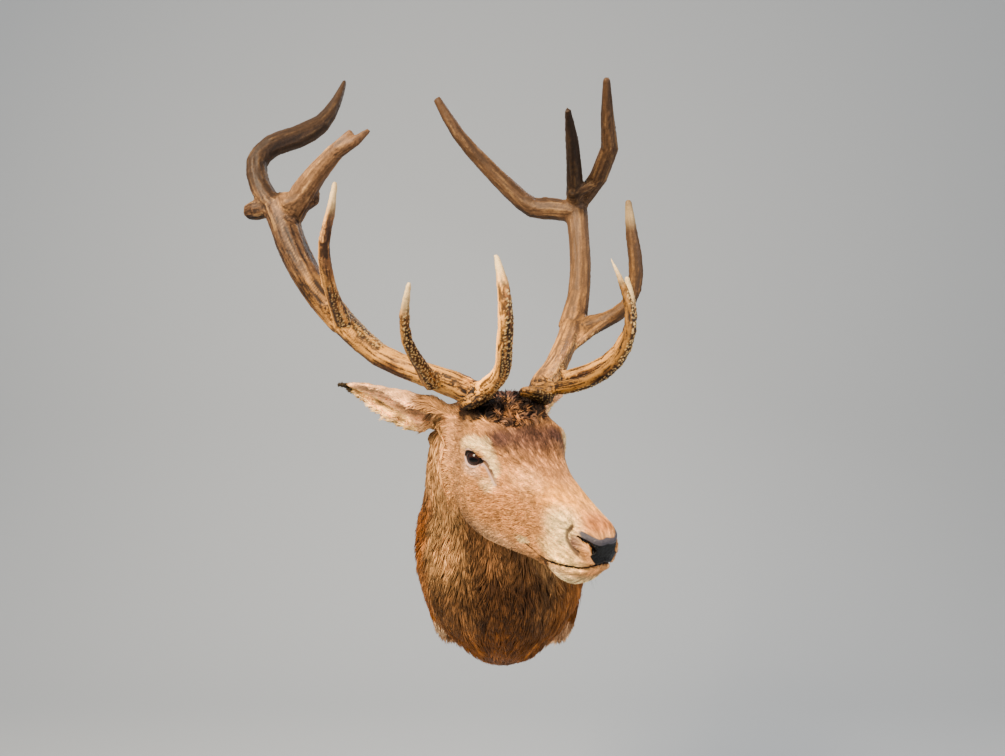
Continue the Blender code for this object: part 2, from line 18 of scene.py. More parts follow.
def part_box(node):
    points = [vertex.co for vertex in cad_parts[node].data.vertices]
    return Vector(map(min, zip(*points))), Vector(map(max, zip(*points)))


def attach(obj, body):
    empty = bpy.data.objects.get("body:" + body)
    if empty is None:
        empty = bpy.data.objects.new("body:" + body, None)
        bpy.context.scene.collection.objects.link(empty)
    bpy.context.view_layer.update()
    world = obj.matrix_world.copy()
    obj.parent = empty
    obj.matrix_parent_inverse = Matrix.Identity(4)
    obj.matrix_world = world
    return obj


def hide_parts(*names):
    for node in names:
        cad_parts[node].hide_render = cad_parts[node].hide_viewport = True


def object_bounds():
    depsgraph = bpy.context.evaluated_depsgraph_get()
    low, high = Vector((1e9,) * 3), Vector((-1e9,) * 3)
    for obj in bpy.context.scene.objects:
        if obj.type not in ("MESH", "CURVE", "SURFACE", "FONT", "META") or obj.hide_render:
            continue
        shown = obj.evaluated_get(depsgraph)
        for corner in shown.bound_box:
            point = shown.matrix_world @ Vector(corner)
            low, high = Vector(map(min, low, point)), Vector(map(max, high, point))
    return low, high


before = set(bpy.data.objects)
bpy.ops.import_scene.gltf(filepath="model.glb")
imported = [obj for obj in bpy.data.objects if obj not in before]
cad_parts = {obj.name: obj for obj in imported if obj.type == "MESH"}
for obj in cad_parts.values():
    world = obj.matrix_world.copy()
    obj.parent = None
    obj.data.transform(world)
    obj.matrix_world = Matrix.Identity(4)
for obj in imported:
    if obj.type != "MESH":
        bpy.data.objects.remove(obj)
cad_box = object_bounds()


# ------------------------------------------------------------ viewer, floor and light
# The mount is seen from a step and a half away, square to the wall and level with the
# animal's brow. A pale floor sweeps up into a pale back wall, well clear of the mount,
# under one large warm lamp, a cooler fill and an even surrounding light.

VIEWER_OFF_WALL = 1.63
VIEWER_HEIGHT = 0.342
LENS, FILM = 25.9, 36.0

camera = bpy.data.objects.new("viewer", bpy.data.cameras.new("viewer"))
camera.data.lens, camera.data.sensor_width = LENS, FILM
camera.location = (0, -VIEWER_OFF_WALL, VIEWER_HEIGHT)
camera.rotation_euler = (math.radians(90), 0, 0)
bpy.context.scene.collection.objects.link(camera)
bpy.context.scene.camera = camera


def linear(code):
    """An sRGB hex colour as linear red, green, blue and 1."""
    parts = [int(code[i : i + 2], 16) / 255 for i in (0, 2, 4)]
    return [p / 12.92 if p <= 0.04045 else ((p + 0.055) / 1.055) ** 2.4 for p in parts] + [1.0]


def feed(node, **inputs):
    """Gives a node its inputs, each a value or the socket that feeds it.

    An underscore in an input's name stands for a space, and a name such as in_6 is a place.
    """
    for name, value in inputs.items():
        place = int(name[3:]) if name.startswith("in_") else name.replace("_", " ")
        if isinstance(value, bpy.types.NodeSocket):
            node.id_data.links.new(value, node.inputs[place])
        else:
            node.inputs[place].default_value = value


def add_node(tree, kind, settings=None, **inputs):
    """A new node with its settings and inputs."""
    made = tree.nodes.new(kind)
    for name, value in (settings or {}).items():
        setattr(made, name, value)
    feed(made, **inputs)
    return made


def new_material(name):
    """An empty material, its node tree and its Principled shader."""
    made = bpy.data.materials.new(name)
    made.use_nodes = True
    return made, made.node_tree, made.node_tree.nodes["Principled BSDF"]


def new_object(name, mesh, material=None, smooth=True):
    made = bpy.data.objects.new(name, mesh)
    bpy.context.scene.collection.objects.link(made)
    if material:
        mesh.materials.clear()
        mesh.materials.append(material)
    if smooth:
        mesh.shade_smooth()
    return made


def studio_sweep():
    """The floor and back wall in one sheet, joined by a quarter round."""
    floor, wall, radius = cad_box[0].z - 1.05, 3.4, 1.4
    front, top, half_width = -7.0, 6.0, 9
    profile = [(front, floor)]
    for step in range(13):
        angle = math.radians(90 * step / 12)
        profile.append((wall - radius + radius * math.sin(angle), floor + radius * (1 - math.cos(angle))))
    profile.append((wall, top))
    points = [(x, y, z) for y, z in profile for x in (-half_width, half_width)]
    faces = [(2 * i, 2 * i + 1, 2 * i + 3, 2 * i + 2) for i in range(len(profile) - 1)]
    mesh = bpy.data.meshes.new("studio_sweep")
    mesh.from_pydata(points, [], faces)
    matt_paint, _, shader = new_material("pale matt studio paint")
    feed(shader, Base_Color=linear("b9bdc1"), Roughness=0.9)
    return new_object("studio_sweep", mesh, matt_paint)


def soft_lamp(name, place, aim, size, watts, colour):
    lamp = bpy.data.lights.new(name, "AREA")
    lamp.size, lamp.energy, lamp.color = size, watts, linear(colour)[:3]
    made = bpy.data.objects.new(name, lamp)
    made.location = place
    made.rotation_euler = (Vector(aim) - Vector(place)).to_track_quat("-Z", "Y").to_euler()
    bpy.context.scene.collection.objects.link(made)


studio_sweep()
soft_lamp("window", (-1.5, -2.4, 2.2), (0, -0.3, 0.2), 1.3, 325, "ffedd0")
soft_lamp("fill", (2.2, -1.9, 0.7), (0, -0.3, 0.1), 1.6, 45, "f6f6ff")
soft_lamp("rim", (1.1, 1.5, 2.3), (0, -0.2, 0.3), 1.2, 45, "ffffff")
world = bpy.context.scene.world or bpy.data.worlds.new("studio")
bpy.context.scene.world = world
world.use_nodes = True
feed(world.node_tree.nodes["Background"], Color=linear("dfe4ea"), Strength=0.78)


# ------------------------------------------------------------------ the cape's surface
# One tanned skin, drawn over a foam form from the nose to the wall and glued down. It is
# the outline of the head, neck, shoulder stumps and ears, less the depth of the coat, with
# lids, nostrils, lips and the slit before each eye tucked into the form with a tool.

MM = 0.001
FLESH = [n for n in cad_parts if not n.startswith(("antler", "back_board", "hanger"))]
HEAD_TURN, HEAD_DROP, HEAD_LEAN = 29.0, 12.0, 1.5
EYE_CENTRE = np.array((-12.0, 70.0, -1.0))  # on the straight head, left side, millimetres
EYE_RADIUS = 19.5
SKIN_SWELL, SKIN_CELL = 0.5 * MM, 5.8 * MM  # how far the shapes grow to meet, and the first cells


def middle(node):
    low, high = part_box(node)
    return (low + high) / 2


def head_frame():
    """Axes and origin of the straight head: X to the nose, Y to its left, Z to the crown."""
    turn = Matrix.Rotation(math.radians(HEAD_TURN - 90), 3, "Z")
    drop = Matrix.Rotation(math.radians(HEAD_DROP), 3, "Y")
    lean = Matrix.Rotation(math.radians(HEAD_LEAN), 3, "X")
    axes = turn @ drop @ lean
    between = (middle("eye_left") + middle("eye_right")) / 2
    origin = between - axes @ Vector((EYE_CENTRE[0] * MM, 0, EYE_CENTRE[2] * MM))
    return np.array(axes), np.array(origin)


HEAD_AXES, HEAD_ORIGIN = head_frame()


def to_head(points):
    """Places in the mount's frame, given on the straight head in millimetres."""
    return (np.asarray(points) - HEAD_ORIGIN) @ HEAD_AXES / MM


def from_head(points):
    return np.asarray(points) @ HEAD_AXES.T * MM + HEAD_ORIGIN


def points_of(mesh):
    found = np.empty(len(mesh.vertices) * 3)
    mesh.vertices.foreach_get("co", found)
    return found.reshape(-1, 3)


def normals_of(mesh):
    found = np.empty(len(mesh.vertices) * 3)
    mesh.vertex_normals.foreach_get("vector", found)
    return found.reshape(-1, 3)


def edges_of(mesh):
    found = np.empty(len(mesh.edges) * 2, np.int64)
    mesh.edges.foreach_get("vertices", found)
    return found.reshape(-1, 2)


def set_points(mesh, points):
    mesh.vertices.foreach_set("co", np.ascontiguousarray(points, np.float32).ravel())
    mesh.update()


def ease(low, high, value):
    """0 below low, 1 above high, with a smooth rise between."""
    t = np.clip((value - low) / (high - low), 0, 1)
    return t * t * (3 - 2 * t)


def mix(one, other, share):
    """From one value to the other as the share goes from 0 to 1."""
    return one * (1 - share) + other * share


def apart(points, place, reach=1.0):
    """Each point's distance from a place, with each axis measured in its own reach."""
    return np.linalg.norm((points - np.asarray(place)) / np.asarray(reach), axis=1)


def unit(ways):
    """The directions at length 1."""
    return ways / np.maximum(np.linalg.norm(ways, axis=1), 1e-9)[:, None]


def along_surface(ways, normals):
    """The directions laid flat on the surface, at length 1."""
    return unit(ways - normals * (ways * normals).sum(1)[:, None])


def spread(values, edges, rounds, keep=0.5):
    """Values averaged with their neighbours', `rounds` times over."""
    a, b = edges.T
    flat = values.reshape(len(values), -1).astype(float)
    count = np.maximum(np.bincount(edges.ravel(), minlength=len(flat)), 1)
    for _ in range(rounds):
        for k in range(flat.shape[1]):
            f = flat[:, k]
            total = np.bincount(a, f[b], len(f)) + np.bincount(b, f[a], len(f))
            flat[:, k] = keep * f + (1 - keep) * total / count
    return flat.reshape(values.shape)


def faired(points, edges, rounds):
    """Points smoothed with their broad shape kept, so that nothing shrinks much."""
    once = spread(points, edges, rounds)
    return once + spread(points - once, edges, rounds)


def welded(mesh):
    """A working copy of the mesh, with its loose triangles joined."""
    bm = bmesh.new()
    bm.from_mesh(mesh)
    bmesh.ops.remove_doubles(bm, verts=bm.verts, dist=1e-6)
    bm.normal_update()
    return bm


def mesh_of(bm, name):
    """The finished mesh of a working copy, which is given up."""
    mesh = bpy.data.meshes.new(name)
    bm.to_mesh(mesh)
    bm.free()
    return mesh


def plain_mesh(made):
    """The object's mesh with its modifiers applied; the object itself is removed."""
    graph = bpy.context.evaluated_depsgraph_get()
    mesh = bpy.data.meshes.new_from_object(made.evaluated_get(graph))
    bpy.data.objects.remove(made)
    return mesh


def joined_skin(meshes, swell, cell):
    """The shapes grown together into one skin of even cells, with no inner walls."""
    bm = bmesh.new()
    for mesh in meshes:
        part = welded(mesh)
        for v in part.verts:
            v.co += v.normal * swell
        whole = mesh_of(part, "part")
        bm.from_mesh(whole)
        bpy.data.meshes.remove(whole)
    rough = new_object("rough", mesh_of(bm, "rough"))
    cells = rough.modifiers.new("cells", "REMESH")
    cells.mode, cells.voxel_size, cells.adaptivity = "VOXEL", cell, 0
    return plain_mesh(rough)


def refine(mesh, marked):
    """Splits the faces between marked vertices into four."""
    bm = bmesh.new()
    bm.from_mesh(mesh)
    chosen = [e for e in bm.edges if marked[e.verts[0].index] and marked[e.verts[1].index]]
    bmesh.ops.subdivide_edges(bm, edges=chosen, cuts=1, use_grid_fill=True)
    bm.to_mesh(mesh)
    bm.free()
    mesh.update()


def smooth_where(mesh, weight, rounds):
    points, edges = points_of(mesh), edges_of(mesh)
    moved = faired(points, edges, rounds)
    set_points(mesh, points + (moved - points) * weight[:, None])


def beside(points):
    """Places on the straight head with both sides folded onto the left one."""
    folded = to_head(points)
    folded[:, 1] = np.abs(folded[:, 1])
    return folded


def near_path(points, path):
    """Distance to the path in millimetres, and the share of its length passed there."""
    path = np.asarray(path, float)
    best = np.full(len(points), 1e9)
    passed = np.zeros(len(points))
    lengths = np.linalg.norm(np.diff(path, axis=0), axis=1)
    done = 0.0
    for start, end, length in zip(path, path[1:], lengths):
        run = end - start
        t = np.clip((points - start) @ run / length**2, 0, 1)
        gap = np.linalg.norm(points - start - t[:, None] * run, axis=1)
        closer = gap < best
        best = np.where(closer, gap, best)
        passed = np.where(closer, (done + t * length) / lengths.sum(), passed)
        done += length
    return best, passed


def ear_shape(side):
    """The ear's points on the straight head, and how far each is from the head's middle."""
    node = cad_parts["ear_left" if side > 0 else "ear_right"]
    shape = to_head([v.co for v in node.data.vertices])
    return shape, apart(shape, (-60, side * 40, 20))


def ear_opens(side):
    """The way that the ear's hollow faces."""
    return np.array((0.70, side * 0.38, -0.46)) / 0.92


def ear_place(points, side):
    """Share of the ear's length passed, and 1 on the ear and 0 off it."""
    shape, away = ear_shape(side)
    root, tip = shape[away < np.quantile(away, 0.06)].mean(0), shape[away.argmax()]
    run = tip - root
    share = (points - root) @ run / (run @ run)
    aside = np.linalg.norm(points - root - share[:, None] * run, axis=1)
    return share, ease(0.15, 0.27, share) * ease(62, 52, aside)


def soft_noise(points, size, seed):
    """Smooth noise from 0 to 1 with lumps of about the given size."""
    rng = np.random.default_rng(seed)
    total = np.zeros(len(points))
    for _ in range(7):
        wave = rng.normal(size=3)
        wave *= 2 * math.pi / (size * rng.uniform(0.8, 1.6) * np.linalg.norm(wave))
        total += np.sin(points @ wave + rng.uniform(0, 2 * math.pi))
    return 0.5 + 0.5 * np.tanh(total / 2.2)


def crown_share(folded):
    """1 on the matted crown between and before the antlers, 0 off it."""
    away = apart(folded, (-40, 0, 80), (66, 66, 48))
    return ease(1.14, 0.86, away) * ease(-118, -96, folded[:, 0])


def ear_inside(points, normals):
    """1 on the ears, and 1 where the ear's hollow face is."""
    head = to_head(points)
    on, opens = np.zeros(len(points)), np.zeros(len(points))
    for side in (-1, 1):
        mine = ear_place(head, side)[1] * (head[:, 1] * side > 0)
        on = np.maximum(on, mine)
        facing = (normals @ HEAD_AXES) @ ear_opens(side)
        opens = np.maximum(opens, mine * ease(0.0, 0.35, facing))
    return on, opens


def ear_fold(folded):
    """The height of the ear's front fold, which hides the top of its hollow."""
    return 30 + 0.39 * (-223 - folded[:, 0])


def coat_depth(points):
    """How far the skin lies inside the tips of the coat, in millimetres."""
    head = to_head(points)
    depth = 3.0 + 5.5 * ease(-60, -190, head[:, 0]) * ease(0.32, 0.12, points[:, 2])
    depth += 3.5 * ease(-110, -190, head[:, 2])
    depth -= 1.4 * ease(60, 150, head[:, 0])
    on_bridge = ease(30, 100, head[:, 0]) * ease(-60, -10, head[:, 2])
    depth -= 1.2 * ease(205, 235, head[:, 0]) + 1.8 * on_bridge
    stump = ease(0.135, 0.150, np.abs(points[:, 0])) * ease(-0.08, -0.13, points[:, 2])
    return depth * (1 - 0.5 * stump)


# Places where the cape is fuller than the solids, or tighter where the height is negative.
# They are on both sides of the head, or on the left alone where y is negative. Each has its
# place, its reach and its height, in millimetres.
FULLER = (
    ((-140, 100, 60), 24, 12.0), ((-168, 142, 66), 24, 5.0), ((-172, 74, -16), 12, 13.0),
    ((-164, 78, -58), 19, -9.0), ((238, -22, -62), 12, 3.5), ((140, 8, -2), 55, 2.0),
    ((50, 26, 32), 36, 1.8), ((-308, 25, -487), 30, -5.0), ((-161, 16, -438), 20, -18.0),
    ((-88, 142, -426), 22, -18.0),
)

# Lines that a modelling tool draws in the wet skin, on the left side of the straight head.
LIPS = (
    (247, 0, -81), (241, 14, -84), (222, 29, -91), (194, 37, -99), (166, 38, -108), (140, 38, -113),
    (108, 42, -104),
)
TEAR_SLIT = ((8, 78, -2), (19, 74, 0), (25, 71, -5), (33, 67, -15), (42, 64, -26))
NOSTRIL = ((224, 29, -45), (231, 26, -48), (237, 21, -52), (241, 17, -59))
WING_CREASE = (
    (206, 31, -38), (201, 33, -46), (203, 36, -54), (213, 36, -61), (225, 33, -66), (235, 27, -70),
)
UPPER_RIM = ((222, 30, -42), (232, 24, -43), (241, 18, -44), (247, 9, -45), (249, 0, -44))
EYE_LOOKS = np.array((0.47, 0.88, 0.02))
EYE_CORNER = np.array((0.88, -0.46, -0.10))
LID_HALF_LENGTH, LID_RISE, LID_DROP = 16.2, 10.0, 9.6

# Three rounds of finer cells: reach about the eye, start of the snout, reach about the
# lips, and whether the whole face and the ears are refined too.
FINER = ((38, 190, 14, True), (27, 200, 8, False), (20, 222, 3, False))


def make_skin():
    """The whole skin before its fine forms: faired, taken in, and refined towards the nose."""
    mesh = joined_skin([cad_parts[n].data for n in FLESH], SKIN_SWELL, SKIN_CELL)
    points, edges = points_of(mesh), edges_of(mesh)
    head = to_head(points)
    ear = spread(np.maximum(ear_place(head, -1)[1], ear_place(head, 1)[1]), edges, 4)
    snout = ease(185, 225, head[:, 0])
    broad, fine = faired(points, edges, 20), faired(points, edges, 5)
    keep = np.maximum(ear, snout)[:, None]
    rear = ease(-0.012, -0.004, points[:, 1])[:, None]
    points = mix(mix(broad, fine, keep), points, rear)
    set_points(mesh, points)
    inwards = coat_depth(points) * (1 - 0.8 * ear) * MM
    sideways = ease(0.5, 0.9, np.abs(normals_of(mesh)[:, 0])) * ease(-0.10, -0.17, head[:, 0] * MM)
    low_left = ease(0.0, -0.06, points[:, 2]) * (points[:, 0] > 0)
    inwards -= sideways * (3.2 + 2.5 * low_left) * MM
    for place, reach, push in FULLER:
        here = head.copy()
        here[:, 1] = np.abs(head[:, 1]) if place[1] > 0 else -head[:, 1]
        inwards -= push * MM * np.exp(-((apart(here, place) / reach) ** 2))
    inwards *= 1 - ease(-0.010, -0.003, points[:, 1]) * 0.8
    set_points(mesh, points - normals_of(mesh) * inwards[:, None])

    for eye_reach, snout_start, lip_reach, whole_face in FINER:
        folded = beside(points_of(mesh))
        head = to_head(points_of(mesh))
        by_eye = np.linalg.norm(folded - EYE_CENTRE - EYE_LOOKS * EYE_RADIUS, axis=1) < eye_reach
        by_slit = near_path(folded, TEAR_SLIT)[0] < 0.36 * eye_reach
        by_snout = (folded[:, 0] > snout_start) & (folded[:, 2] > -98)
        marked = by_eye | by_slit | by_snout | (near_path(folded, LIPS)[0] < lip_reach)
        if whole_face:
            marked |= (folded[:, 0] > -60) & (folded[:, 2] > -165)
            marked |= (ear_place(head, -1)[1] + ear_place(head, 1)[1]) > 0
        refine(mesh, marked)
        smooth_where(mesh, 1.0 * (beside(points_of(mesh))[:, 0] > -75), 1)
    return mesh


def eye_axes():
    """Unit vectors of the left eye: outwards, to the inner corner, and upwards."""
    out = EYE_LOOKS / np.linalg.norm(EYE_LOOKS)
    corner = EYE_CORNER - out * (EYE_CORNER @ out)
    corner /= np.linalg.norm(corner)
    up = np.cross(out, corner)
    return out, corner, up * np.sign(up[2])


def lid_opening(folded):
    """Signed distance from the opening between the lids, negative inside it."""
    out, corner, up = eye_axes()
    away = folded - EYE_CENTRE
    s = away @ corner / LID_HALF_LENGTH
    height = away @ up
    high = np.where(height > 0, LID_RISE, LID_DROP) * (1 - 0.22 * ease(0.2, 1.1, s))
    reach = np.sqrt(np.abs(s) ** 2.3 + (height / high) ** 2)
    return (reach - 1) * 12.5, height, away @ out


def skin_search(mesh):
    """A search tree of the mesh's faces, to find the nearest place on it."""
    faces = [tuple(f.vertices) for f in mesh.polygons]
    return BVHTree.FromPolygons([Vector(p) for p in points_of(mesh)], faces)


def set_on_skin(path, tree):
    """The path's points moved to the nearest places of the skin, still on the left side."""
    return [to_head(tree.find_nearest(Vector(from_head(p)))[0]) for p in path]


def model_face(mesh):
    """Presses the eyes, tear slits, nostrils and lips into the skin."""
    points = points_of(mesh)
    tree = skin_search(mesh)
    side = np.where(to_head(points)[:, 1:2] < 0, -1.0, 1.0)
    folded = beside(points)
    before = folded.copy()
    normal = normals_of(mesh) @ HEAD_AXES
    normal[:, 1] *= side[:, 0]
    lips, slit, nostril, crease, rim = (
        set_on_skin(p, tree) for p in (LIPS, TEAR_SLIT, NOSTRIL, WING_CREASE, UPPER_RIM)
    )

    # The mouth: two rolled lips with the slit between them, and the chin's full front.
    gap, passed = near_path(folded, lips)
    roll = np.exp(-(((gap - 7) / 3.8) ** 2)) * (1.5 - 0.9 * passed)
    folded += normal * (roll * 1.3)[:, None]
    folded -= normal * (5.2 * np.exp(-((gap / 2.9) ** 2)) * (1.05 - 0.4 * passed))[:, None]
    chin = apart(folded, (188, 12, -118), (40, 34, 20))
    folded += (0.0, 0.12, -1.0) * (5.0 * ease(1.25, 0.2, chin) * ease(-101, -112, folded[:, 2]))[:, None]
    behind = apart(folded, (143, 30, -121), (9, 22, 12))
    folded -= normal * (5.0 * ease(1.2, 0.2, behind))[:, None]

    # The nose: its upper rim, the crease behind the wing, the wing, the nostril, the parting.
    gap = near_path(folded, rim)[0]
    folded += normal * (1.5 * np.exp(-((gap / 3.6) ** 2)))[:, None]
    gap, passed = near_path(folded, crease)
    folded -= normal * (4.6 * np.exp(-((gap / 3.8) ** 2)) * ease(1.0, 0.8, passed))[:, None]
    wing = apart(folded, set_on_skin([(221, 32, -53)], tree)[0])
    folded += normal * (3.6 * np.exp(-((wing / 9.0) ** 2)))[:, None]
    gap, passed = near_path(folded, nostril)
    wide = 2.2 + 2.0 * passed
    folded -= normal * (9.0 * np.exp(-((gap / wide) ** 4)) * (0.6 + 0.4 * passed))[:, None]
    parting = np.exp(-((folded[:, 1] / 1.3) ** 2)) * ease(236, 240, folded[:, 0])
    parting *= ease(-66, -72, folded[:, 2])
    folded -= normal * (1.3 * parting)[:, None]

    # The tear slit, shallower towards its lower end.
    gap, passed = near_path(folded, slit)
    near = 1 - 0.5 * passed
    folded += normal * (1.3 * np.exp(-(((gap - 4.5) / 3) ** 2)) * near)[:, None]
    folded -= normal * (3.4 * np.exp(-((gap / 1.7) ** 2)) * near)[:, None]

    # The eye: the lids lie on the glass, thick at their edge, and the skin inside is sunk.
    gap, height, depth = lid_opening(folded)
    out = eye_axes()[0]
    faces_out = depth > 2
    far = apart(folded, EYE_CENTRE)
    edge = (np.abs(gap) < 0.55) & faces_out
    away = folded - EYE_CENTRE
    aside = unit(away - out * (away @ out)[:, None])
    folded[edge] -= aside[edge] * gap[edge][:, None]
    heading = unit(folded - EYE_CENTRE)
    gap = np.where(edge, 0, gap)
    lid = EYE_RADIUS + 0.1 + 1.9 * ease(0, 1.5, gap) - 5.0 * ease(0, -1.3, gap)
    lid -= 0.9 * np.exp(-(((gap - 6.2) / 1.1) ** 2)) * ease(1, 5, height)
    lid += 0.9 * np.exp(-(((gap - 3.0) / 1.8) ** 2))
    hold = (1 - ease(3.5, 13, gap)) * faces_out
    folded = np.where(hold[:, None] > 0, EYE_CENTRE + heading * mix(far, lid, hold)[:, None], folded)

    # The crown's matted lumps, and the ears' hollows under their front folds.
    lumps = soft_noise(points, 0.020, 7) + 0.6 * soft_noise(points, 0.011, 8) - 0.8
    folded += normal * (9.0 * lumps * crown_share(folded))[:, None]
    for_ear, opens = ear_inside(points, normals_of(mesh))
    fold = folded[:, 2] - ear_fold(folded)
    hollow = 2.6 * np.exp(-(((fold - 2) / 5) ** 2)) - 5.0 * ease(-1, -14, fold)
    folded += normal * (for_ear * opens * hollow)[:, None]

    folded[:, 1] *= side[:, 0]
    moved = from_head(folded)
    moved[:, 1] = np.minimum(moved[:, 1], -0.4 * MM)
    set_points(mesh, moved)
    return {"lips": lips, "slit": slit, "nostril": nostril, "crease": crease, "before": before}


# ----------------------------------------------------------------- the coat's markings
# A stag's winter coat: tan face with a grey-brown forehead, pale rings round the eyes, a
# pale muzzle and chin, and a coarse brown neck that turns orange on the sides. The marks
# are soft patches placed on the straight head, the same on both sides. Some of them are
# painted shade: under the lip, at the angle of the jaw, in the ears' hollows, and low on
# the neck's side facing +X.

# Name: middle, reach (millimetres, on the left side), colour, strength.
MARKS = {
    "tan temple": ((-84, 80, 0), (50, 44, 50), "eeae70", 0.85),
    "sandy cheek": ((54, 62, -52), (60, 40, 40), "d39152", 0.8),
    "brown jaw": ((20, 60, -122), (96, 50, 24), "d6a270", 0.85),
    "shaded angle of the jaw": ((-25, 69, -114), (36, 30, 22), "9c7048", 0.8),
    "sandy bridge": ((150, 18, -16), (66, 26, 26), "ee9f3c", 0.82),
    "rusty nose top": ((226, 4, -28), (28, 24, 13), "b4682e", 0.82),
    "dark forehead": ((40, 0, 36), (70, 70, 40), "5c3d31", 0.94),
    "brown below the forehead": ((98, 4, 4), (70, 46, 30), "98663e", 0.75),
    "grey wedge to the eye": ((26, 52, 36), (30, 24, 18), "593b32", 0.9),
    "cream halo of the nostril": ((188, 36, -48), (42, 27, 34), "ffde9c", 0.88),
    "cream upper lip": ((196, 36, -86), (56, 24, 18), "ffd88c", 0.9),
    "pale crease at the mouth's corner": ((104, 42, -97), (16, 10, 7), "ffdc98", 0.8),
    "cream chin": ((204, 16, -124), (50, 40, 22), "ffe0a4", 0.95),
    "pink wing of the nostril": ((222, 33, -54), (12, 11, 11), "8e6654", 0.9),
    "pale lower lid": ((-6, 84, -20), (30, 20, 12), "e8b890", 0.8),
    "cream below the slit": ((32, 70, -34), (18, 16, 12), "ffd494", 0.8),
    "sandy side of the forehead": ((98, 42, -8), (44, 22, 18), "fbb873", 0.6),
    # Painted shadow where the upper lip overhangs the jaw at the mouth's corner.
    "painted shadow under the lip": ((150, 34, -115), (24, 18, 7), "2a170b", 0.95),
    "dusk behind the eye": ((-60, 84, -4), (34, 20, 40), "b4804f", 0.7),
    "dark before the antler": ((-60, 76, 50), (28, 18, 20), "8a6448", 0.5),
}
# The cream line over the eye, from behind it round to the slit.
CREAM_BROW = (
    (-34, 85, 15), (-16, 85, 22), (2, 80, 25), (15, 70, 24), (25, 67, 17), (33, 64, 6), (40, 62, -10),
)
FACE_TAN, FACE_BACK = "cc8e52", "d69a5c"
# Painted shade in the hollow of each ear, dark patches where it lies deepest: middle and reach.
EAR_HOLLOW_SHADE = (((-252, 148, 30), (17, 14, 8)), ((-219, 127, 12), (15, 14, 7)), ((-178, 112, -2), (9, 9, 6)))


def tone(code):
    """The colour as linear red, green and blue."""
    return np.array(linear(code)[:3])


def evenly(code, points):
    return np.tile(tone(code), (len(points), 1))


def laid_over(colours, *layers):
    """The colours with each layer, a colour and its weight at each point, over them in turn."""
    for other, weight in layers:
        colours = mix(colours, tone(other) if isinstance(other, str) else other, weight[:, None])
    return colours


def crown_colour(points, head):
    """Matted brown with sandy blotches and black specks, greyer behind the antlers."""
    blotch, speck = soft_noise(points, 0.024, 13), soft_noise(points, 0.010, 14)
    return laid_over(
        evenly("805a40", points),
        ("bc7e48", ease(0.42, 0.66, blotch) * 0.9),
        ("62443a", ease(-52, -72, head[:, 0])),
        ("0e0906", ease(0.54, 0.72, speck) * 0.92),
    )


def stump_share(points):
    """1 on the ends of the shoulder stumps, 0 off them."""
    return ease(0.080, 0.094, np.abs(points[:, 0])) * ease(-0.160, -0.185, points[:, 2])


def neck_colour(points, normals):
    """Coarse brown, paler up the sides, darker down the front, orange flanks, pale stump ends, and painted
    shade low on the side facing +X.
    """
    height, sideways, upwards = points[:, 2], np.abs(normals[:, 0]), ease(0.5, 0.9, normals[:, 2])
    flank, stump = ease(0.78, 0.97, sideways), stump_share(points)
    return laid_over(
        evenly("6e4a29", points),
        ("c89358", 0.95 * ease(0.2, 0.5, sideways) * ease(-0.06, 0.04, height)),
        ("381f0a", 0.85 * ease(0.5, 0.1, sideways) * ease(0.06, -0.05, height)),
        ("a87848", 0.8 * flank),
        ("86480f", 0.92 * flank * ease(0.19, 0.08, height)),
        # Painted shade: a deeper orange-brown low on the side facing +X, away from the lamp.
        ("87501c", 0.75 * ease(0.35, 0.75, normals[:, 0]) * ease(0.10, 0.02, height)),
        ("754210", 0.9 * ease(-0.07, -0.17, height)),
        ("94683f", upwards),
        ("553a24", ease(0.035, 0.0, np.abs(points[:, 0])) * upwards),
        ("b98a60", stump),
        ("f0c496", stump * ease(0.45, 0.7, soft_noise(points, 0.030, 17))),
    )


def markings(points, normals):
    """The coat's colour at each place, linear, from its place and the way it faces."""
    head, folded = to_head(points), beside(points)
    marks = [
        (code, strength * ease(1.35, 0.3, apart(folded, centre, reach)))
        for centre, reach, code, strength in MARKS.values()
    ]
    gap, passed = near_path(folded, CREAM_BROW)
    ragged = gap + 4 * (soft_noise(points, 0.006, 15) - 0.5)
    foot = beside([middle("antler_left_burr")])[0]
    ring = np.linalg.norm((folded - foot) * (1, 1, 0.8), axis=1) + 9 * (soft_noise(points, 0.012, 16) - 0.5)
    under_jaw = ease(-112, -150, head[:, 2]) * 1.3 * ease(120, 60, head[:, 0])
    neck = ease(0, 1, (-95 - head[:, 0]) / 60 + under_jaw)
    neck = np.maximum(neck, ease(0.115, 0.085, points[:, 2]) * ease(-0.43, -0.40, points[:, 1]))
    on, opens = ear_inside(points, normals)
    fold = folded[:, 2] - ear_fold(folded)
    share = np.where(head[:, 1] > 0, ear_place(head, 1)[0], ear_place(head, -1)[0])
    tip = on * ease(0.84, 0.90, share)
    # Painted shade deep in each ear's hollow.
    shade_in_ear_hollows = [
        ("3c2618", 0.92 * ease(1.3, 0.4, apart(folded, centre, reach)) * opens)
        for centre, reach in EAR_HOLLOW_SHADE
    ]
    return laid_over(
        evenly(FACE_TAN, points),
        (FACE_BACK, ease(20, -70, head[:, 0])),
        *marks,
        ("ffdc9c", 0.95 * ease(14, 4, ragged) * (0.5 + 0.5 * ease(0, 0.3, passed))),
        (crown_colour(points, head), crown_share(folded)),
        ("150d09", ease(46, 32, ring) * 0.96),
        (neck_colour(points, normals), neck),
        ("e8b07c", on),
        ("c6925f", on * (1 - opens) * ease(0.5, 0.7, share)),
        ("f6c67c", opens * ease(2, -3, fold)),
        *shade_in_ear_hollows,
        ("140e0a", tip * ease(9, -3, fold) * 0.95),
        ("7a5236", tip * ease(-2, 8, fold)),
    )


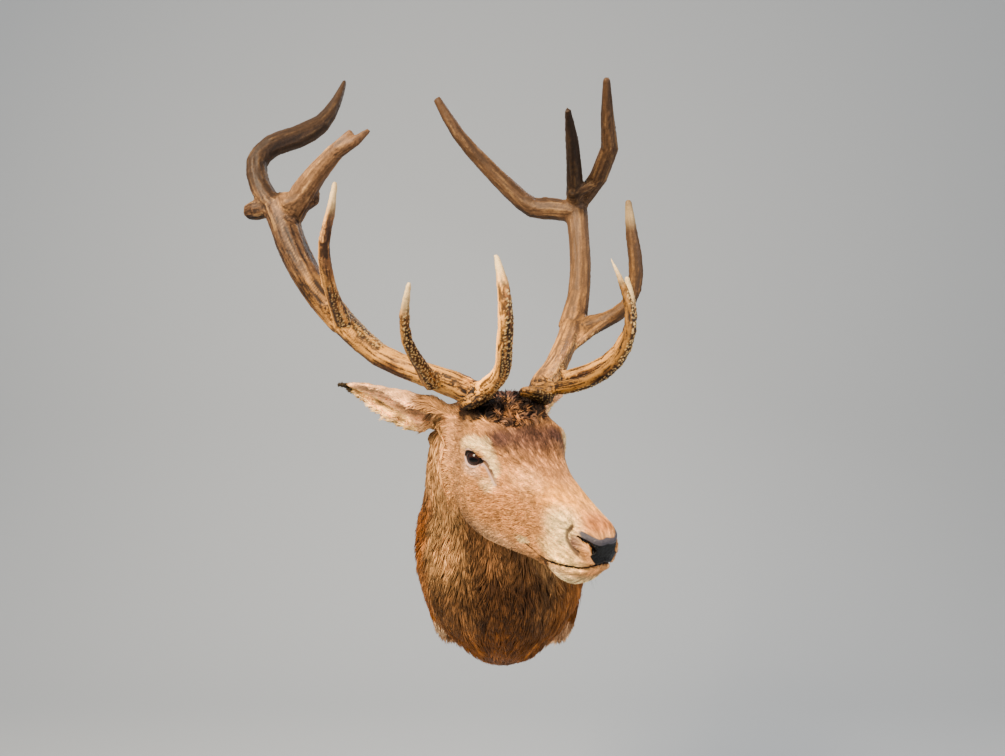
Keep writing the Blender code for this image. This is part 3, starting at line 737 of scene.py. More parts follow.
def bare_skin(points, lines):
    """How far each place is nose leather, nostril rim, lid edge, lip edge, painted shade in the nostril's
    crease, or thinly haired.
    """
    folded = beside(points)
    y, z = folded[:, 1], folded[:, 2]
    before = lines["before"]
    gap, passed = near_path(before, lines["nostril"])
    top = np.interp(y, (0, 6, 12, 19, 25, 30), (-47.5, -49, -49.5, -47.5, -44.5, -43.5))
    flank = np.interp(z, (-84, -79, -72, -67, -60, -54, -49, -45), (3, 13, 18, 21, 18, 18, 23, 28))
    front = ease(225, 230, folded[:, 0])
    pad = front * ease(0.8, -0.8, z - top) * ease(0.8, -0.8, y - flank) * ease(-84, -82.5, z)
    pad = np.maximum(pad, ease(2.9, 1.9, gap - 1.2 * passed))
    rim = ease(218, 226, folded[:, 0]) * ease(0.8, -0.8, z - top - 8.5) * ease(32, 29, y)
    rim *= ease(-4.0, -2.0, z - top)
    lid, height, _ = lid_opening(folded)
    on_eye = apart(folded, EYE_CENTRE) < 36
    lid_edge = ease(4.8, 3.4, lid + 3.4 * ease(1, -4, height)) * on_eye
    gap, passed = near_path(before, lines["slit"])
    slit = ease(4.2, 2.2, gap) * (1 - 0.4 * passed)
    thin = np.maximum(ease(8.0, 5.5, lid) * on_eye, ease(10.0, 5.0, gap) * (1 - 0.3 * passed))
    # The mouth's dark band: partly the lips' own dark skin, partly painted shade in the mouth's slit.
    lip = ease(3.7, 2.4, near_path(before, lines["lips"])[0])
    # Painted shade in the crease behind the nostril's wing, which is also kept clear of hair.
    gap, passed = near_path(before, lines["crease"])
    fold = ease(7.0, 3.0, gap) * ease(1.0, 0.8, passed)
    edge = np.maximum(lid_edge, 0.9 * slit)
    return {"pad": pad, "rim": rim, "lid": edge, "lip": lip, "fold": fold, "thin": thin * (1 - edge)}


def paint(mesh, name, colours):
    layer = mesh.attributes.new(name, "FLOAT_COLOR", "POINT")
    rgba = np.ones((len(mesh.vertices), 4), np.float32)
    rgba[:, :3] = colours
    layer.data.foreach_set("color", rgba.ravel())


def store(mesh, name, values):
    mesh.attributes.new(name, "FLOAT", "POINT").data.foreach_set("value", values.astype(np.float32))


def tanned_hide():
    """Tanned deer skin under its hair: matt, finely pored; wet-looking black on the nose pad.

    Pores 0.8 mm apart wouldn't show, so they are drawn at 1.2 mm, and the nose pad's 2 mm
    pebbles at 2.4 mm.
    """
    made, tree, shader = new_material("tanned deer skin")
    place = add_node(tree, "ShaderNodeTexCoord").outputs["Object"]
    colour = add_node(tree, "ShaderNodeAttribute", {"attribute_name": "coat"}).outputs["Color"]
    wet = add_node(tree, "ShaderNodeAttribute", {"attribute_name": "wet"}).outputs["Fac"]
    pores = add_node(tree, "ShaderNodeTexNoise", Vector=place, Scale=1 / 0.0012, Detail=3.0)
    pebble = add_node(
        tree, "ShaderNodeTexVoronoi", {"feature": "SMOOTH_F1"},
        Vector=place, Scale=1 / 0.0024, Smoothness=0.4,
    )
    pebbled = add_node(
        tree, "ShaderNodeMath", {"operation": "MULTIPLY"}, in_0=pebble.outputs["Distance"], in_1=wet
    )
    height = add_node(
        tree, "ShaderNodeMath", {"operation": "MULTIPLY_ADD"},
        in_0=pebbled.outputs[0], in_1=-1.6, in_2=pores.outputs["Fac"],
    )
    bump = add_node(tree, "ShaderNodeBump", Strength=0.6, Distance=0.0013, Height=height.outputs[0])
    gloss = add_node(
        tree, "ShaderNodeMapRange", Value=wet, From_Min=0.0, From_Max=1.0, To_Min=0.72, To_Max=0.22
    )
    feed(shader, Base_Color=colour, Roughness=gloss.outputs["Result"], Specular_IOR_Level=0.2)
    feed(shader, Normal=bump.outputs["Normal"])
    return made


def lattice_noise(points, size, seed):
    """Noise from 0 to 1 between random values on a cubic lattice of the given size."""
    table = np.random.default_rng(seed).random((32, 32, 32))
    at = points / size
    low = np.floor(at).astype(int)
    part = at - low
    part = part * part * (3 - 2 * part)
    total = np.zeros(len(points))
    for corner in ((x, y, z) for x in (0, 1) for y in (0, 1) for z in (0, 1)):
        i, j, k = ((low + corner) % 32).T
        total += table[i, j, k] * np.prod(np.where(corner, part, 1 - part), axis=1)
    return total


def grain(points, along, size, reach, seed):
    """Noise drawn out along the given directions, centred on 0 with a spread of 1."""
    steps = np.linspace(-1, 1, max(9, 2 * math.ceil(reach / size) + 1))
    total = sum(lattice_noise(points + along * (reach * s), size, seed) for s in steps)
    return (total - total.mean()) / total.std()


def neck_share(points):
    """0 on the face, 1 on the neck, with a blend behind the cheek and under the jaw."""
    head = to_head(points)
    share = ease(0, 1, (-88 - head[:, 0]) / 55)
    behind = share * ease(70, 40, head[:, 2]) + share * ease(-118, -150, head[:, 0])
    under = ease(-108, -142, head[:, 2]) * ease(115, 50, head[:, 0])
    return np.maximum(behind, under).clip(0, 1)


def lie_of_coat(points, normals, twist=None):
    """The way the hair lies at each place, as unit vectors along the skin."""
    head = to_head(points)
    side = np.where(head[:, 1] < 0, -1.0, 1.0)
    back = np.tile((-1.0, 0.0, 0.0), (len(points), 1))
    back[:, 2] -= 0.45 * ease(-10, -70, head[:, 2]) * ease(200, 120, head[:, 0])
    back[:, 1] += 0.30 * side * ease(30, 70, head[:, 2]) * ease(90, 20, head[:, 0])
    way = back @ HEAD_AXES.T
    down = np.tile((0.0, 0.30, -1.0), (len(points), 1))
    down[:, 0] -= 0.9 * points[:, 0] / 0.16 * ease(-0.02, -0.18, points[:, 2])
    way = mix(way, down, neck_share(points)[:, None])
    for s in (-1, 1):
        share, on = ear_place(head, s)
        shape, away = ear_shape(s)
        run = (shape[away.argmax()] - (-114, s * 58, 50)) @ HEAD_AXES.T
        way = mix(way, run / np.linalg.norm(run), (on * ease(0.08, 0.2, share))[:, None])
    way = along_surface(way, normals)
    if twist is None:
        return way
    across = np.cross(normals, way)
    return way * np.cos(twist)[:, None] + across * np.sin(twist)[:, None]


def streaked(colours, points, normals):
    """The colours broken into darker and paler locks that run with the coat."""
    way = lie_of_coat(points, normals)
    head = to_head(points)
    neck = neck_share(points)
    short = grain(points, way, 2.6 * MM, 4.5 * MM, 51)
    locks = grain(points, way, 8 * MM, 20 * MM, 52) + 0.6 * grain(points, way, 4 * MM, 12 * MM, 53)
    brow = ease(1.3, 0.7, apart(beside(points), (50, 0, 34), (70, 66, 36)))
    muzzle = ease(120, 190, head[:, 0])
    push = short * (0.22 + 0.16 * brow + 0.07 * muzzle) * (1 - neck) + locks * 0.30 * neck
    return colours * np.exp(push)[:, None]


skin = make_skin()
lines = model_face(skin)
skin_points, skin_normals = points_of(skin), normals_of(skin)
skin_tree = skin_search(skin)
bare = bare_skin(skin_points, lines)
hide_colour = streaked(markings(skin_points, skin_normals), skin_points, skin_normals) * 0.9
back_edge = ease(0.55, 0.8, skin_normals[:, 1]) * ease(-0.03, -0.02, skin_points[:, 1])
# Over the coat: thin skin, painted shade in the nostril's crease, grey rim, black pad, dark lids, the lips'
# dark band with painted shade in the mouth's slit, and the pale turned edge at the back.
hide_colour = laid_over(
    hide_colour, ("c2a29c", 0.8 * bare["thin"]), ("34201a", 0.9 * bare["fold"]), ("454044", bare["rim"]),
    ("020202", bare["pad"]), ("0c0705", bare["lid"]), ("150c07", bare["lip"]), ("b49c7c", back_edge),
)
paint(skin, "coat", hide_colour)
store(skin, "wet", np.clip(bare["pad"] + 0.4 * bare["lid"] + 0.7 * bare["rim"], 0, 1))
cape = new_object("cape_skin", skin, tanned_hide())
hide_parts(*[n for n in FLESH if not n.startswith("eye")])
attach(cape, "root")


# -------------------------------------------------------------------------- the coat
# Winter hair, each tuft a few hairs that dried together: 6 to 12 mm on the face, 40 mm on
# the neck. Every tuft is rooted in the skin, lies back from the nose and down the neck,
# and follows the skin under it. On the neck they gather into locks with paler tips.

COVER_FACE, COVER_NECK = 2.6, 5.5  # layers of tufts over each other
# Lengths and widths of tufts, millimetres.
FACE_HAIR, NECK_HAIR, CROWN_HAIR, STUMP_HAIR, EAR_HAIR = 9.5, 40, 15, 11, 7.0
FACE_TUFT, NECK_TUFT = 1.35, 3.3
STUMP_NOTCH = (0.078, 0.215, 0.178)  # over each stump: distances from the middle, wall and origin
PIECE_LIMIT = 190_000  # triangles
LEFT_OUT = 15  # one short tuft in so many is left out, so that the whole stays under two million
LONG_HAIR = 19  # millimetres, past which a tuft bends with the skin and joins a lock
TUFTS_IN_LOCK, LOCK_REACH = 7, 20 * MM
PATCH_HALF, PATCH_LENGTH = 0.0013, 0.003  # how much of the flat map each tuft takes


def scatter(mesh, rng, per_area):
    """Roots spread over the mesh: places, normals, and the vertex nearest to each."""
    mesh.calc_loop_triangles()
    corners = np.empty(len(mesh.loop_triangles) * 3, np.int64)
    mesh.loop_triangles.foreach_get("vertices", corners)
    corners = corners.reshape(-1, 3)
    p = points_of(mesh)[corners]
    area = np.linalg.norm(np.cross(p[:, 1] - p[:, 0], p[:, 2] - p[:, 0]), axis=1) / 2
    wanted = area * per_area[corners].mean(1)
    count = rng.poisson(wanted)
    which = np.repeat(np.arange(len(corners)), count)
    u, v = np.sqrt(rng.random(len(which))), rng.random(len(which))
    share = np.stack((1 - u, u * (1 - v), u * v), 1)
    places = (p[which] * share[:, :, None]).sum(1)
    facing = unit((normals_of(mesh)[corners][which] * share[:, :, None]).sum(1))
    return places, facing, corners[which, share.argmax(1)]


def nearest_skin(places):
    found = [skin_tree.find_nearest(Vector(p)) for p in places]
    return np.array([f[0] for f in found]), np.array([f[1] for f in found])


def sweep_tufts(roots, normals, way, length, width, rise, follow):
    """The rings of each tuft: three corners at each station, then the tip."""
    stations = (0.0, 0.36, 0.72) if follow else (0.0, 0.5)
    centres, faces_up, ahead = [roots - normals * 0.4 * MM], [normals], [way]
    here, up, go = roots, normals, way
    reached = 0.0
    for share in (*stations[1:], 1.0):
        step = (length * (share - reached))[:, None]
        reached = share
        here = here + go * step
        if follow:
            here, flat = nearest_skin(here)
            up = unit(up * 0.4 + flat * 0.6)
            go = along_surface(go, up)
        centres.append(here + up * (rise * share**0.8)[:, None])
        faces_up.append(up)
        ahead.append(go)
    rings = []
    for k, share in enumerate(stations):
        across = np.cross(faces_up[k], ahead[k])
        half = (width * (0.5, 0.42, 0.26)[k])[:, None]
        ridge = faces_up[k] * half * 0.8
        rings += [centres[k] - across * half, centres[k] + across * half, centres[k] + ridge]
    return np.stack(rings + [centres[-1]], 1), np.array([s for s in stations for _ in range(3)] + [1.0])


def tuft_faces(stations):
    """The faces of one tuft, which is a three-sided spike, open only at its root."""
    faces = []
    for k in range(stations - 1):
        for i in range(3):
            a, b = 3 * k + i, 3 * k + (i + 1) % 3
            faces += [(a, b, b + 3), (a, b + 3, a + 3)]
    last = 3 * (stations - 1)
    return np.array(faces + [(last + i, last + (i + 1) % 3, last + 3) for i in range(3)])


def head_unwrap(points):
    """The head's hide slit under the chin and rolled out flat: 0 to 1 each way."""
    head = to_head(points)
    round_it = np.arctan2(head[:, 1], head[:, 2] + 45) / (2 * math.pi)
    return np.stack((0.5 + 0.96 * round_it, (head[:, 0] + 210) / 480), 1)


def neck_unwrap(points):
    """The neck and brisket pressed flat from their middle, like a hide on a table."""
    away = points - (0.0, -0.12, 0.01)
    from_front = np.arccos(np.clip(-away[:, 1] / np.linalg.norm(away, axis=1), -1, 1))
    turn = np.arctan2(away[:, 2], away[:, 0])
    reach = 0.235 * from_front
    return 0.5 + np.stack((reach * np.cos(turn), reach * np.sin(turn)), 1)


def ear_unwrap(points, normals, side):
    """Both faces of an ear side by side."""
    head = to_head(points)
    share, _ = ear_place(head, side)
    opens = ear_opens(side)
    lengthways = np.array((-0.7, side * 0.7, 0.0))
    across = np.cross(opens, lengthways)
    inside = ((normals @ HEAD_AXES) @ opens > 0.05) * 0.5
    sideways = (head - (-160, side * 110, 45)) @ (across / np.linalg.norm(across)) / 260
    return np.stack((0.25 + inside + np.clip(sideways, -0.24, 0.24), 0.02 + 0.94 * share.clip(0, 1)), 1)


def unwrapped(name, points, normals):
    """Where each root of a piece lies on the piece's own flat map."""
    if name.startswith("ear"):
        return ear_unwrap(points, normals, 1 if "left" in name else -1)
    return neck_unwrap(points) if name.startswith(("neck", "chest")) else head_unwrap(points)


def coat_piece(name, rings, stations, faces, colours, flat, material):
    """One mesh of many tufts, with their colours and the map that the bake uses."""
    count, ring = rings.shape[:2]
    corners = (faces[None] + (np.arange(count) * ring)[:, None, None]).reshape(-1, 3)
    mesh = bpy.data.meshes.new(name)
    mesh.vertices.add(count * ring)
    mesh.vertices.foreach_set("co", rings.astype(np.float32).ravel())
    mesh.loops.add(corners.size)
    mesh.loops.foreach_set("vertex_index", corners.ravel().astype(np.int32))
    mesh.polygons.add(len(corners))
    mesh.polygons.foreach_set("loop_start", np.arange(0, corners.size, 3, dtype=np.int32))
    mesh.update(calc_edges=True)
    paint(mesh, "coat", colours.reshape(-1, 3))
    sideways = np.tile((-1, 1, 0), ring // 3 + 1)[:ring] * PATCH_HALF
    patch = np.stack((sideways, (stations - 0.5) * PATCH_LENGTH), 1)
    spots = (flat[:, None, :] + patch[None]).reshape(-1, 2)
    layer = mesh.uv_layers.new(name="OFBake")
    layer.data.foreach_set("uv", spots[corners.ravel()].astype(np.float32).ravel())
    piece = new_object(name, mesh, material)
    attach(piece, "root")


def worn_tone(tree, colour, noise, darkest):
    """The colour made darker and up to a fifth lighter as the noise goes from low to high."""
    light = add_node(
        tree, "ShaderNodeMapRange",
        Value=noise.outputs["Fac"], From_Min=0.3, From_Max=0.7, To_Min=darkest, To_Max=1.2,
    )
    return add_node(
        tree, "ShaderNodeVectorMath", {"operation": "SCALE"}, in_0=colour, Scale=light.outputs["Result"]
    )


def deer_hair():
    """Hollow deer hair: matt with a faint sheen, paler where the tips are worn.

    A hair is 0.1 mm thick, too fine to show; the streaks are drawn at 1.4 mm.
    """
    made, tree, shader = new_material("deer hair")
    place = add_node(tree, "ShaderNodeTexCoord").outputs["Object"]
    colour = add_node(tree, "ShaderNodeAttribute", {"attribute_name": "coat"}).outputs["Color"]
    streak = add_node(tree, "ShaderNodeTexNoise", Vector=place, Scale=1 / 0.0014, Detail=2.0)
    toned = worn_tone(tree, colour, streak, 0.82)
    feed(shader, Base_Color=toned.outputs["Vector"], Roughness=0.58, Specular_IOR_Level=0.15)
    return made


def tuft_sizes(head, folded, neck, crown, ear, inner):
    """Length and width of a tuft at each point of the skin, in millimetres."""
    snout = ease(70, 190, head[:, 0])
    from_lids, from_eye = lid_opening(folded)[0], apart(folded, EYE_CENTRE)
    near_eye = ease(30, 8, np.abs(from_lids)) * (from_eye < 50)
    length = FACE_HAIR - 3.6 * snout - 2.5 * near_eye + 3.0 * ease(30, -70, head[:, 0])
    length = mix(mix(length, NECK_HAIR, neck), CROWN_HAIR, crown)
    near_tip = [ease(0.80, 0.9, ear_place(head, side)[0]) for side in (-1, 1)]
    length = mix(length, (EAR_HAIR + 8 * inner) * (1 - 0.6 * (np.maximum(*near_tip) * ear)), ear)
    length = mix(length, STUMP_HAIR, stump_share(skin_points))
    length *= 1 - 0.6 * ease(0.045, 0.015, apart(np.abs(skin_points), STUMP_NOTCH))
    # Short enough to stay clear of the lids, the tear slit, the lips and the nostril's crease.
    room = np.minimum(from_lids - 3.0, near_path(lines["before"], lines["slit"])[0] - 2.0)
    room = np.where(from_eye < 75, room, 99)
    for line, clear in (("lips", 2.2), ("crease", 4.5)):
        room = np.minimum(room, near_path(lines["before"], lines[line])[0] - clear)
    length = np.minimum(length, np.maximum(2.4, 1.0 + 1.1 * room))
    width = mix(FACE_TUFT - 0.45 * snout - 0.3 * near_eye, NECK_TUFT, neck)
    width = width + 1.4 * crown * (1 - neck) - 0.3 * ear
    return length, np.minimum(width, 0.34 * length)


def piece_of(roots, neck, crown, ear, long_hair):
    """The name of the piece that each tuft belongs to."""
    head = to_head(roots)
    on_ear = (ear > 0.5) & (not long_hair)
    on_neck = (neck > 0.5) & ~on_ear
    place = np.full(len(roots), "brow", object)
    if not long_hair:
        place[head[:, 0] > 12] = "face"
        place[head[:, 0] > 105] = "muzzle"
        place[crown > 0.3] = "crown"
    place[on_neck] = "chest"
    if long_hair:
        place[on_neck & (roots[:, 2] > 0.02)] = "neck"
    place[on_ear] = "ear"
    right = np.where(on_neck, roots[:, 0], head[:, 1]) < 0
    return place + np.where(right, "_right", "_left") + ("_long" if long_hair else "")


def place_tree(places):
    """A search tree for the nearest of the places."""
    tree = KDTree(len(places))
    for i, place in enumerate(places):
        tree.insert(place, i)
    tree.balance()
    return tree


def grow_coat():
    """Roots, sizes and colours of every tuft, then the pieces they are joined into."""
    rng = np.random.default_rng(11)
    p, n = skin_points, skin_normals
    head, folded = to_head(p), beside(p)
    neck = neck_share(p)
    ear, hollow = ear_inside(p, n)
    inner = hollow * ease(0, -5, folded[:, 2] - ear_fold(folded))
    crown = crown_share(folded) * (1 - ear)
    length, width = tuft_sizes(head, folded, neck, crown, ear, inner)
    cover = mix(COVER_FACE - 0.8 * ease(70, 190, head[:, 0]) + 1.5 * crown, COVER_NECK, neck)
    bald = np.maximum.reduce([
        bare["pad"] + bare["rim"], bare["lid"], bare["lip"], bare["thin"], 0.8 * bare["fold"],
        ease(0.4, 0.6, n[:, 1]) * ease(-0.02, -0.008, p[:, 1]),
    ])
    density = cover / (np.maximum(length, 4) * np.maximum(width, 0.9) * 0.6) / MM**2 * (bald < 0.35)
    roots, up, at = scatter(skin, rng, density)
    length = length[at] * rng.uniform(0.75, 1.2, len(at))
    width = width[at] * rng.uniform(0.7, 1.3, len(at))
    neck, crown, ear = neck[at], crown[at], ear[at]
    rise = coat_depth(roots) * (0.6 + 0.5 * rng.random(len(at)))
    rise = rise * (1 + 0.5 * crown - 0.45 * ear + 0.25 * neck) * MM
    twist = (soft_noise(roots, 0.05, 5) - 0.5) * 0.5 + rng.normal(0, 0.16, len(at))
    twist += crown * (soft_noise(roots, 0.022, 6) - 0.5) * 6.0 + ear * rng.normal(0, 0.05, len(at))
    way = lie_of_coat(roots, up, twist)
    colour = streaked(markings(roots, up), roots, up)

    wild = rng.random(len(at))
    lift = mix(0.62 + 0.76 * wild + crown * (wild - 0.5) * 0.7, 0.75 + 0.5 * wild, neck)
    colour = colour * lift[:, None]
    long_hair = length > LONG_HAIR
    leaders = rng.choice(np.flatnonzero(long_hair), int(long_hair.sum() / TUFTS_IN_LOCK), replace=False)
    lock_tree = place_tree(roots[leaders])
    kept = long_hair | (np.arange(len(at)) % LEFT_OUT > 0)
    material = deer_hair()
    for follow in (False, True):
        pick = np.flatnonzero((long_hair == follow) & kept)
        rings, stations = sweep_tufts(
            roots[pick], up[pick], way[pick], length[pick] * MM, width[pick] * MM, rise[pick], follow
        )
        tint = np.ones(len(pick))
        if follow:
            lead = np.array([lock_tree.find(Vector(r))[1] for r in roots[pick]])
            place_of = {k: i for i, k in enumerate(pick)}
            ends = rings[[place_of[k] for k in leaders], -1]
            pull = ends[lead] - rings[:, -1]
            pull *= (0.5 * (np.linalg.norm(pull, axis=1) < LOCK_REACH))[:, None]
            rings += pull[:, None, :] * (stations**1.5)[None, :, None]
            tint = rng.uniform(0.70, 1.38, len(leaders))[lead]
        # Each tuft darker at the root and paler at the tip: partly the hairs' own pale tips, partly painted
        # shade deep in the coat.
        root_dark, tip_pale = (0.6, 1.25) if follow else (0.86, 1.18)
        fade = root_dark + (tip_pale - root_dark) * stations
        shade = colour[pick][:, None, :] * tint[:, None, None] * fade[None, :, None]
        nearest_wall = 0.4 + 3.0 * wild[pick][:, None] + 0.3 * (np.arange(rings.shape[1]) % 3)
        rings[:, :, 1] = np.minimum(rings[:, :, 1], -nearest_wall * MM)
        names = piece_of(roots[pick], neck[pick], crown[pick], ear[pick], follow)
        faces = tuft_faces(len(stations) // 3)
        for name in sorted(set(names)):
            mine = np.flatnonzero(names == name)
            if len(mine) * len(faces) > PIECE_LIMIT:
                raise ValueError(f"{name} has too many tufts: {len(mine)}")
            flat = unwrapped(name, roots[pick][mine], up[pick][mine])
            coat_piece(f"coat_{name}", rings[mine], stations, faces, shade[mine], flat, material)


grow_coat()


# ---------------------------------------------------------------------- the glass eyes
# Blown glass domes, 39 mm across, painted from behind: a dark brown iris round a pupil
# that lies level, with a raised cornea that catches one sharp light.

PUPIL = np.array((0.62, 0.78, 0.03))  # where the left pupil looks, on the straight head
CORNEA_BULGE = 1.3  # millimetres


def glass_eye(side, material):
    rings, turns = 40, 64
    reach = math.pi * 0.62  # how far back the dome goes from the middle of the pupil
    look = PUPIL / np.linalg.norm(PUPIL)
    across = np.cross((0, 0, 1.0), look)
    across /= np.linalg.norm(across)
    up = np.cross(look, across)
    iris, dark, white = (tone(code) for code in ("2a1206", "020101", "2a1c14"))
    points, faces, colours = [], [], []
    for i in range(rings + 1):
        polar = reach * (i / rings) ** 1.15
        for j in range(turns):
            angle = 2 * math.pi * j / turns
            x, z = math.sin(polar) * math.cos(angle), math.sin(polar) * math.sin(angle)
            bulge = CORNEA_BULGE * float(ease(0.62, 0.2, polar))
            heading = look * math.cos(polar) + across * x + up * z
            points.append(EYE_CENTRE + heading * (EYE_RADIUS - 0.2 + bulge))
            pupil = float(ease(1.1, 0.9, math.hypot(x / 0.40, z / 0.20)))
            edge = float(ease(0.66, 0.80, polar))
            ray = 1 + 0.25 * math.sin(angle * 23 + 1.7 * math.sin(angle * 5))
            rim = float(ease(0.45, 0.62, polar))
            ringed = iris * ray * (1 - 0.7 * rim)
            colours.append(ringed * (1 - pupil) * (1 - edge) + dark * pupil + white * edge)
    for i in range(rings):
        for j in range(turns):
            a, b = i * turns + j, i * turns + (j + 1) % turns
            faces.append((a, b, b + turns, a + turns))
    points = np.array(points)
    points[:, 1] *= side
    if side > 0:
        faces = [f[::-1] for f in faces]
    loose = bpy.data.meshes.new("loose")
    loose.from_pydata([tuple(p) for p in from_head(points)], [], faces)
    bm = bmesh.new()
    bm.from_mesh(loose)
    bmesh.ops.remove_doubles(bm, verts=bm.verts[:turns], dist=1e-7)
    mesh = mesh_of(bm, "eye")
    tree = place_tree(points)
    paint(mesh, "iris", np.array([colours[tree.find(Vector(p))[1]] for p in to_head(points_of(mesh))]))
    name = "eye_left" if side > 0 else "eye_right"
    eye = new_object(f"glass_{name}", mesh, material)
    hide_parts(name)
    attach(eye, "root")


def eye_glass():
    """Painted glass: the colour lies under a clear, polished face."""
    made, tree, shader = new_material("painted eye glass")
    colour = add_node(tree, "ShaderNodeAttribute", {"attribute_name": "iris"}).outputs["Color"]
    feed(shader, Base_Color=colour, Roughness=0.06, IOR=1.52, Specular_IOR_Level=0.22)
    return made


glass = eye_glass()
glass_eye(-1, glass)
glass_eye(1, glass)


# -------------------------------------------------------------------------- the antlers
# Cast bone, grooved lengthwise where blood vessels ran, and set with pearls on the shaded
# side of the lower beams and tines. The grooves hold dark stain; the ridges are worn paler
# by rubbing and the points are worn to ivory. Both antlers alike are painted pale gold on
# the side towards the lamp, partly wear and partly painted highlight, and dark round the
# pearls on the far side, partly stain and partly painted shade, with painted shade on the
# undersides low down.

HORN_SWELL, HORN_CELL = 1.1 * MM, 2.5 * MM
PEARL_SPACING, PEARL_RADIUS = 6.0 * MM, 1.0 * MM
GROOVE_LIFT, PEARL_LIFT, PIT_LIFT = 0.45, 1.2, 0.5  # how far each moves the surface, millimetres

# Where the antlers are stouter than the plain tubes under them, or sit a little to one
# side: millimetres outwards, then the shift at the foot, half-way and at the tip.
STOUTER = {
    "left_top_tine": (6.4, (-2, 0, -8.5), (-3.5, 0, -7), (0, 0, 0)),
    "left_beam_upper": (3.9, (3, 0, 0), (0.5, 0, 0)),
    "left_beam_lower": (0.0, (0.5, 0, 0), (5, 0, 0)),
    "left_palm": (2.8, (1, 0, 0), (0, 0, 1.5)),
    "left_palm_point": (4.4, (3, 0, -2), (-0.5, 0, -1)),
    "left_trez_tine": (3.2, (0, 0, -14.5), (0, 0, -7), (-2.5, 0, 0)),
    "left_bez_tine": (1.0, (0, 0, -4), (-2, 0, -7), (-10, 0, 1)),
    "left_brow_tine": (-2.2, (1, 0, -3.5), (5, 0, -3.5), (0, 0, -3)),
    "right_rear_knob": (4.8, (-6.5, 0, 1), (-6.5, 0, 1)),
    "right_inner_knob": (0.5, (2, 0, 0), (2, 0, 0)),
    "right_beam_upper": (0.8, (-0.5, 0, 0), (-3, 0, 0)),
    "right_beam_lower": (-1.0, (0, 0, -2), (0, 0, -1), (0, 0, 0.5)),
    "right_top_tine": (0.6, (-5, 0, -4), (-1, 0, -5.5), (-3.5, 0, 1)),
    "right_palm": (1.6, (2.5, 0, -2), (3, 0, -3), (3, 0, -2)),
    "right_palm_point": (0.6, (3, 0, -2), (3, 0, -2)),
    "right_bez_tine": (0.0, (-10, 0, -3), (-1.5, 0, -1), (5, 0, 0)),
    "right_brow_tine": (0.0, (4, 0, -4), (-1, 0, 0), (1, 0, 0)),
    "right_trez_tine": (0.3, (-4, 0, -1), (1.5, 0, 0), (4, 0, 0)),
}

# How bright each length is, partly its weathered tone and partly painted light and shade, such as the
# painted highlight on the right brow tine: its colour is multiplied by this.
WEATHER_LIGHT_AND_SHADE = {
    "right_top_tine": 0.27, "right_beam_upper": 0.62, "right_palm": 1.3, "right_palm_point": 1.2,
    "right_rear_knob": 0.8, "right_trez_tine": 1.7, "right_beam_lower": 0.85, "right_brow_tine": 2.3,
    "left_beam_lower": 1.35, "left_beam_upper": 0.85, "left_top_tine": 0.6, "left_palm": 0.2,
    "left_palm_point": 0.6, "left_trez_tine": 0.6, "left_brow_tine": 0.4, "left_bez_tine": 0.8,
}

# How plain and grey-brown each length is, without golden ridges and pearls.
PLAIN = {
    "left_beam_lower": 0.8, "left_beam_upper": 0.9, "left_trez_tine": 0.8, "left_palm": 0.6,
    "left_palm_point": 0.3, "left_top_tine": 0.5, "right_top_tine": 0.6, "right_palm": 0.5,
}

# Colours of the grooves, of the faces between them and of the ridges: high up, then low down.
HORN_TONES = (("2a1a0e", "201005"), ("6a4a2e", "74471f"), ("a47c4e", "e89f46"))


def rings_of(node, steps):
    """Middles of the node's cross-sections, evenly stepped from its foot to its tip."""
    shape = np.array([v.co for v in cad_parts[node].data.vertices])
    word = node.split("_")[1]
    away = apart(shape, middle(f"antler_{word}_burr"))
    foot, tip = shape[away < np.quantile(away, 0.08)].mean(0), shape[away.argmax()]
    share = (shape - foot) @ (tip - foot) / ((tip - foot) @ (tip - foot))
    return [shape[np.abs(share - s).argsort()[:14]].mean(0) for s in np.linspace(0, 1, steps)]


def stout_node(node):
    """The node's shape with its swelling and shift, as a mesh."""
    swell, *shifts = STOUTER.get(node.removeprefix("antler_"), (0, (0, 0, 0), (0, 0, 0)))
    if len(shifts) == 2:
        shifts.insert(1, np.mean(shifts, axis=0))
    at_foot, half_way, at_tip = np.array(shifts)
    foot, tip = (Vector(p) for p in rings_of(node, 2))
    bm = welded(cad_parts[node].data)
    for v in bm.verts:
        share = min(max((v.co - foot).dot(tip - foot) / (tip - foot).length_squared, 0), 1)
        shift = (1 - 2 * share) * (1 - share) * at_foot + 4 * share * (1 - share) * half_way
        shift = shift + share * (2 * share - 1) * at_tip
        v.co += v.normal * (swell * MM) + Vector(shift) * MM
    return mesh_of(bm, "stout")


def web(*balls):
    """A smooth skin stretched over balls, each a place in metres and a radius."""
    bm = bmesh.new()
    for place, radius in balls:
        at = Matrix.Translation(Vector(place))
        bmesh.ops.create_icosphere(bm, subdivisions=2, radius=radius * MM, matrix=at)
    hull = bmesh.ops.convex_hull(bm, input=bm.verts)
    bmesh.ops.delete(bm, geom=list(set(hull["geom_interior"] + hull["geom_unused"])), context="VERTS")
    return mesh_of(bm, "web")


def fork(first, first_share, second, second_share, radius):
    """The web in the crotch of two lengths, from the root of the second one up both."""
    steps = 21
    a = rings_of(f"antler_{first}", steps)[round(first_share * (steps - 1))]
    second_rings = rings_of(f"antler_{second}", steps)
    b = second_rings[round(second_share * (steps - 1))]
    return web((a, radius), (b, radius), (second_rings[1], radius))


def length_direction(points, normals, edges):
    """The way each tube runs, which is the way its surface bends least."""
    pairs = ((0, 0), (0, 1), (0, 2), (1, 1), (1, 2), (2, 2))
    bend = spread(np.stack([normals[:, i] * normals[:, j] for i, j in pairs], 1), edges, 45)
    whole = np.empty((len(points), 3, 3))
    for k, (i, j) in enumerate(pairs):
        whole[:, i, j] = whole[:, j, i] = bend[:, k]
    return np.linalg.eigh(whole)[1][:, :, 0]


